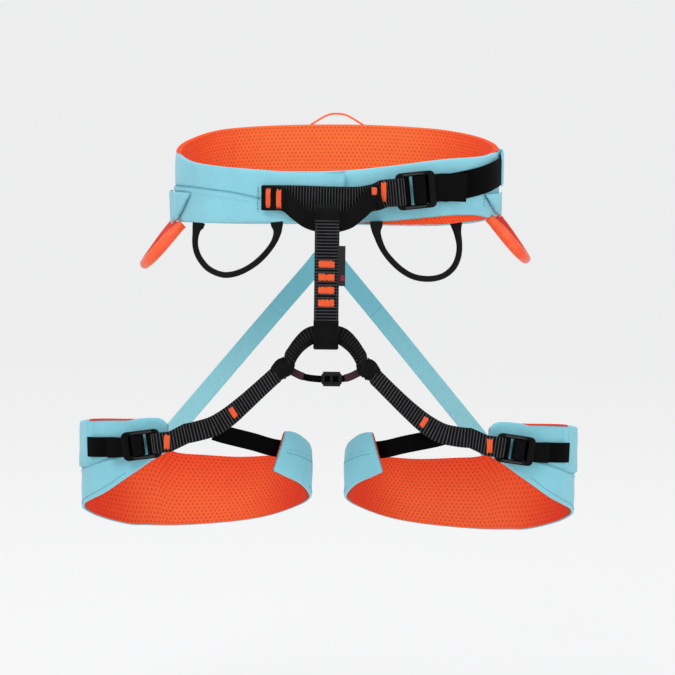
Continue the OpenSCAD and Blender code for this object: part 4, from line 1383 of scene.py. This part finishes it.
ring = strap("lower_ring_webbing", "leg_tie_in_ring", "ring", "leg_bridge", pitch=2.6, rib=0.3, edge=0.9,
             reach=(1.15, 1.15))[1]


def ring_binding(width=4.6, thickness=3.9, edge=1.7):
    """Smooth padded tape along the inside of the lower ring, thinning out at its two ends."""
    inner = ring.across*np.where(ring.across[:, 2:3] > 0, -1, 1)
    grid, used = [], []
    for i in range(0, len(ring.run), 2):
        size = ramp(min(ring.run[i], ring.length - ring.run[i]), 0, 14)
        if size < 0.25:
            continue
        section = rounded(width*size, thickness*size, edge*size, 4)
        middle = ring.centre[i] + inner[i]*(ring.width[i]/2 - 2.4)
        grid.append(middle + inner[i]*section[:, :1] + ring.face[i]*section[:, 1:]*1.05)
        used.append(ring.run[i])
    binding = grid_object("lower_ring_binding", grid, used, around(width, thickness, edge, 4))
    dress(binding, "sling", "leg_bridge")


ring_binding()
crotch = strap("crotch_tape", "crotch_strap", "flat", "leg_bridge", step=1.2, edge=0.4)[1]


def cuff(name, band, first, last, grow=0.7):
    """Short sleeve round the crotch strap."""
    used = [i for i in range(len(band.run)) if first <= band.run[i] <= last]
    grid = [band.lay(i, rounded(band.width[i] + grow, band.thickness[i] + grow, 0.5, 4)) for i in used]
    v = around(band.width.mean() + grow, band.thickness.mean() + grow, 0.5, 4)
    dress(grid_object(name, grid, band.run[used], v), "trim", "leg_bridge")


cuff("crotch_cuff_left", crotch, 3, 15)
cuff("crotch_cuff_right", crotch, crotch.length - 17, crotch.length - 3)


def junction(name, band):
    """The sewn joint between the lower ring and the start of a leg strap."""
    away = [np.linalg.norm(ring.at(length)[0] - band.centre[0]) for length in (0, ring.length)]
    near, inwards = (0, 1) if away[0] < away[1] else (ring.length, -1)
    rows = []
    outer = (-inwards, 0, 0.6)
    # two stations on the ring, then two on the strap
    for source, length, up in ((ring, near + 8*inwards, outer), (ring, near + 3.5*inwards, outer),
                               (band, 3.5, UP), (band, 9, UP)):
        centre, across, _ = source.at(length)
        size = (np.interp(length, source.run, v) for v in (source.width, source.thickness))
        rows.append([*centre, *outward_from(across, up), *size])
    rows = smooth_line(rows, 10)
    centre, across = rows[:, :3], unit(rows[:, 3:6])
    way = np.gradient(centre, axis=0)
    face = unit(np.cross(way, across))
    across = unit(np.cross(face, way))
    run = arc_lengths(centre)
    grid = []
    for i, at in enumerate(run):
        swell = 0.3 + 0.9*math.sin(math.pi*at/run[-1])**0.5
        section = rounded(rows[i, 6] + 0.7*swell, rows[i, 7] + 0.6 + 1.6*swell, 0.8, 5)
        grid.append(centre[i] + across[i]*section[:, :1] + face[i]*section[:, 1:])
    shown = dress(grid_object(name, grid, run, arc_lengths(section)), "sling", None)
    blend_along(shown, band, 0.5, 42)


def ladder(name, node, body):
    """Small ladder adjuster: a rounded plate with two slots, thick enough for the strap inside it."""
    low, high = (np.array(c)/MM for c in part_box(node))
    half_w, half_h = (high[0] - low[0])/2, (high[2] - low[2])/2
    centre = (low + high)/2
    outline = rounded_corners(-half_w + 0.7, half_w - 0.7, -half_h + 0.7, half_h - 0.7, 2.0)
    slots = [rounded_corners(x - 0.5, x + 5.1, -4.2, 4.2, 1.2)[::-1] for x in (-5.8, 0.9)]
    points, faces = plate([outline] + slots, 0.8, 0.6)
    parts = [(centre + points[:, [0, 2, 1]] + [0, y, 0], faces) for y in (-2.0, 2.0)]
    for side in (-1, 1):
        rail = [centre + (x, 0, side*(half_h - 0.9)) for x in np.linspace(-half_w + 1.5, half_w - 1.5, 7)]
        parts.append(tube(rail, 1.0, 10, 2.0))
    dress(cut_out(name, parts), "plastic", body, (node,))


ladder("crotch_adjuster_ladder", "crotch_adjuster", "crotch_buckle")

# ---------------- leg loops

leg = Pad(leg_point, LEG_ROWS, -230, LEG_T, 3.0, 3.0, 54)
LEG_SEAM = [
    [184, -242.5], [190, -240.5], [197, -239.5], [206, -236.8], [221, -230.5], [232.5, -225.5], [240, -222],
]
LEG_CREASE = [[-42, -217.5], [-30, -221], [-15, -226.5], [-2, -231.5]]
LEG_TAIL_ROOT = np.array([-205, -49, -219])
RING_TOP = (LEG_MID_X, -114, -145)
LEG_TACKS = (-82.0, -136.2)  # where the left leg strap's bar tacks are along x


def leg_relief(t, z, run):
    seam = leg.beside(LEG_SEAM, t, z, run)
    on_seam = stretch(t, 180, 184, 235, 241)
    sewn = (0.7*bump(seam + 2.3, 1.4) - 1.3*bump(seam, 1.0))*on_seam
    welt = 2.2*stretch(t, 183, 186, 208.6, 209.5) - 1.6*bump(run - leg.run(211.2), 1.0)
    notch = 0.35*bump(run - leg.run(240), 1.0)*ramp(z, -206, -202)
    crease = 0.8*bump(leg.beside(LEG_CREASE, t, z, run), 0.9)
    soft = waves(run, z*1.5, 8, 0.35, (47, 31, 22))
    return sewn + welt*ramp(seam, 0.2, 1.7) - notch - crease + soft


def leg_lip(t):
    return np.full_like(t, -1.2)


def leg_brim(t):
    """The liner shows over the top edge behind and along part of the outer side."""
    return 2.0 - 4.0*np.maximum(stretch(t, -14, -4, 112, 122), stretch(t, 200, 206, 236, 242))


def leg_pins(t, z, sides):
    seam = np.abs(leg.beside(LEG_SEAM, t, z))
    strap_zone = (t > 205) & (t < 257) & (z > -224) & (z < -202)
    return ((seam < 3) | strap_zone | (np.abs(leg.run(t) - leg.run(209)) < 2.5)) & (sides > 0)


def leg_padding(side, turn):
    body = "leg_" + side
    leg.pieces("leg_pad_" + side, leg_lip, leg_brim, "leg_blue", "leg_liner", body,
               ("leg_shell_" + side, "leg_foam_" + side, "leg_liner_" + side), turn)
    lines = [shifted(LEG_SEAM, 1.2), shifted(LEG_CREASE, -3.4),
             leg.edge_line((132, 150, 165, 181), True, 3.6),
             leg.edge_line((-12, 20, 60, 100, 140, 180, 215, 236), False, 4.0)]
    sew(body + "_stitching", leg, lines, body, turn, length=1.7, gap=0.9, radius=0.34)


def leg_straps(side, turn):
    """The strap to the lower ring, the inner strap, and the tail that runs through the buckle."""
    body, frame_body, slider_body = ("leg_" + part + side for part in ("", "buckle_", "slider_"))
    shown, band = strap(f"leg_strap_{side}_webbing", "leg_strap_" + side, "ribbed", None, pitch=2.75,
                        reach=(1.15, 0.02), begin=RING_TOP)
    blend_along(shown, band, 0.5, 42)
    junction(f"leg_strap_{side}_joint", band)
    strap(f"inner_strap_{side}_tape", "inner_strap_" + side, "flat", body, step=1.6)
    shown, tail = strap(f"leg_tail_{side}_tape", "leg_tail_" + side, "flat", None, step=1.4,
                        begin=turn(LEG_TAIL_ROOT))
    blend_along(shown, tail, tail.length - 24, tail.length - 1)
    place = buckle("leg", "_" + side, LEG_WEB)
    folded_webbing(f"leg_{side}_webbing_fold", place, LEG_WEB, body)
    slider_fold(f"leg_fold_{side}_tape", "leg_tail_wrap_" + side, place)
    upper, lower = (turn(np.array([x, 0, 0]))[0] for x in LEG_TACKS)
    parts = tack_on(band, upper, 4.4, 9.5, 1.15, upright=False)
    parts += tack_on(band, lower, 4.6, 11.5, 1.15)
    dress(joined(f"leg_{side}_bar_tacks", parts), "tack", body)


leg.build(leg_pins, leg_relief)
for side, turn in (("left", unmoved), ("right", mirrored)):
    leg_padding(side, turn)
    leg_straps(side, turn)

# ---------------- risers


def riser(side, part, step, share):
    """Upper or lower half of an elastic riser. share, a part of its length from its top, only goes to
    blend_along and changes nothing.
    """
    hint = (0.76 if side == "left" else -0.76, 0, -0.65)
    shown, band = strap(f"riser_{side}_{part}", f"riser_{part}_{side}", "elastic", None, hint,
                        step=step, edge=0.5, reach=(1.0, 1.0))
    top, foot = (0, band.length) if band.centre[0, 2] >= band.centre[-1, 2] else (band.length, 0)
    blend_along(shown, band, top, top + (foot - top)*share)


for side in ("left", "right"):
    riser(side, "upper", 2.2, 1.0)
    riser(side, "lower", 2.6, 0.86)

# ---------------- gear loops


def looped(name, node, look, body, sides=14, reach=4.0, tab=0.0):
    """Round cord over a CAD cord, from its front end to its back one. A tab flattens and widens its ends."""
    sections = rings(node, 8)
    if sections[0].mean(0)[1] > sections[-1].mean(0)[1]:
        sections = sections[::-1]
    centres = np.array([s.mean(0) for s in sections])
    normal = np.linalg.svd(centres - centres.mean(0))[2][2]
    way = unit(np.gradient(centres, axis=0))
    across = unit(np.cross(normal, way))
    depth = unit(np.cross(way, across))
    wide, thick = (np.array([np.abs((s - c) @ n).max() for s, c, n in zip(sections, centres, to)])
                   for to in (across, depth))
    values = np.column_stack([centres, across, depth, wide, thick])
    values = np.concatenate([values[:1], values, values[-1:]])
    values[0, :3] -= way[0]*reach
    values[-1, :3] += way[-1]*reach
    length = arc_lengths(values[:, :3])
    at = np.linspace(0, length[-1], int(length[-1]/1.3) + 1)
    v = along(np.column_stack([length, values]), at)
    angle = np.linspace(0, 2*math.pi, sides, endpoint=False)
    circle = np.column_stack([np.cos(angle), np.sin(angle)])
    to_end = np.minimum(at, length[-1] - at)
    flare = tab*ramp(to_end, reach + 9, reach)**1.5
    a, b = v[:, 9]*1.05 + flare, v[:, 10]*1.05/(1 + flare*0.3)
    grid = []
    for i in range(len(at)):
        grid.append(v[i, :3] + unit(v[i, 3:6])*circle[:, :1]*a[i] + unit(v[i, 6:9])*circle[:, 1:]*b[i])
    dress(grid_object(name, grid, at, arc_lengths(circle)*v[len(v)//2, 9]), look, body, (node,))


for side in ("left", "right"):
    looped(f"front_loop_{side}_cord", "gear_loop_front_" + side, "cord", "front_loop_" + side,
           tab=1.4)
    looped(f"rear_loop_{side}_tube", "gear_loop_rear_" + side, "moulded", "rear_loop_" + side,
           sides=20)
looped("haul_loop_cord", "haul_loop", "haul", "haul", sides=10)

# ---------------- room, light, camera

FLOOR_GLOW = 0.625
FLOOR_HALF_WIDTH, BEND_START, BEND_RADIUS, WALL_TOP = 9, 3.2, 1.2, 6


def backdrop():
    """Pale floor that curves up into a wall, in metres."""
    floor = cad_low[2] - 0.16
    profile = [(-7, 0)]
    for a in np.linspace(0, math.pi/2, 24):
        profile.append((BEND_START + BEND_RADIUS*math.sin(a), BEND_RADIUS - BEND_RADIUS*math.cos(a)))
    profile.append((BEND_START + BEND_RADIUS, WALL_TOP))
    vertices = [(x, y, floor + z) for y, z in profile for x in (-FLOOR_HALF_WIDTH, FLOOR_HALF_WIDTH)]
    faces = [(i, i + 1, i + 3, i + 2) for i in range(0, 2*len(profile) - 2, 2)]
    sweep = new_object("floor", np.array(vertices)/MM, faces)
    look = Look("pale_floor", roughness=0.9, specular=0.1, Emission_Color=(1, 1, 1, 1),
                Emission_Strength=FLOOR_GLOW)
    look.colour(look.mix(look.noise(3, 2), (0.30, 0.30, 0.30, 1), (0.305, 0.305, 0.305, 1)))
    sweep.data.materials.append(look.material)


def area_light(name, place, size, power, aim=(0, 0, -0.1)):
    light = bpy.data.lights.new(name, "AREA")
    configure(light, energy=power, size=size)
    holder = bpy.data.objects.new(name, light)
    holder.location = place
    holder.rotation_euler = (Vector(aim) - Vector(place)).to_track_quat("-Z", "Y").to_euler()
    bpy.context.scene.collection.objects.link(holder)


def studio_world():
    world = bpy.data.worlds.new("studio")
    world.use_nodes = True
    inputs = world.node_tree.nodes["Background"].inputs
    inputs["Color"].default_value = (0.93, 0.95, 1.0, 1)
    inputs["Strength"].default_value = 0.55
    bpy.context.scene.world = world
    bpy.context.scene.view_settings.view_transform = "Standard"


def photo_camera(target, reach, tilt, roll, pixel, pixels=675):
    """Camera in front of a target at the photo's angle. pixel is the size of one pixel there, in metres."""
    camera = bpy.data.objects.new("camera", bpy.data.cameras.new("camera"))
    configure(camera.data, sensor_width=36, lens=36*reach/(pixel*pixels))
    back = Vector((0, -math.cos(tilt), math.sin(tilt)))
    camera.location = Vector(target) + back*reach
    camera.rotation_mode = "QUATERNION"
    camera.rotation_quaternion = (-back).to_track_quat("-Z", "Y") @ Quaternion((0, 0, 1), roll)
    bpy.context.scene.collection.objects.link(camera)
    bpy.context.scene.camera = camera


backdrop()
area_light("key", (-1.1, -2.2, 1.9), 1.6, 34)
area_light("fill", (1.7, -2.0, 0.6), 2.0, 16)
area_light("top", (0.0, 0.4, 2.2), 1.8, 18)
studio_world()
photo_camera((0.002, 0, -0.1288), 2.6, math.radians(4), math.radians(0.7), 0.85*MM)
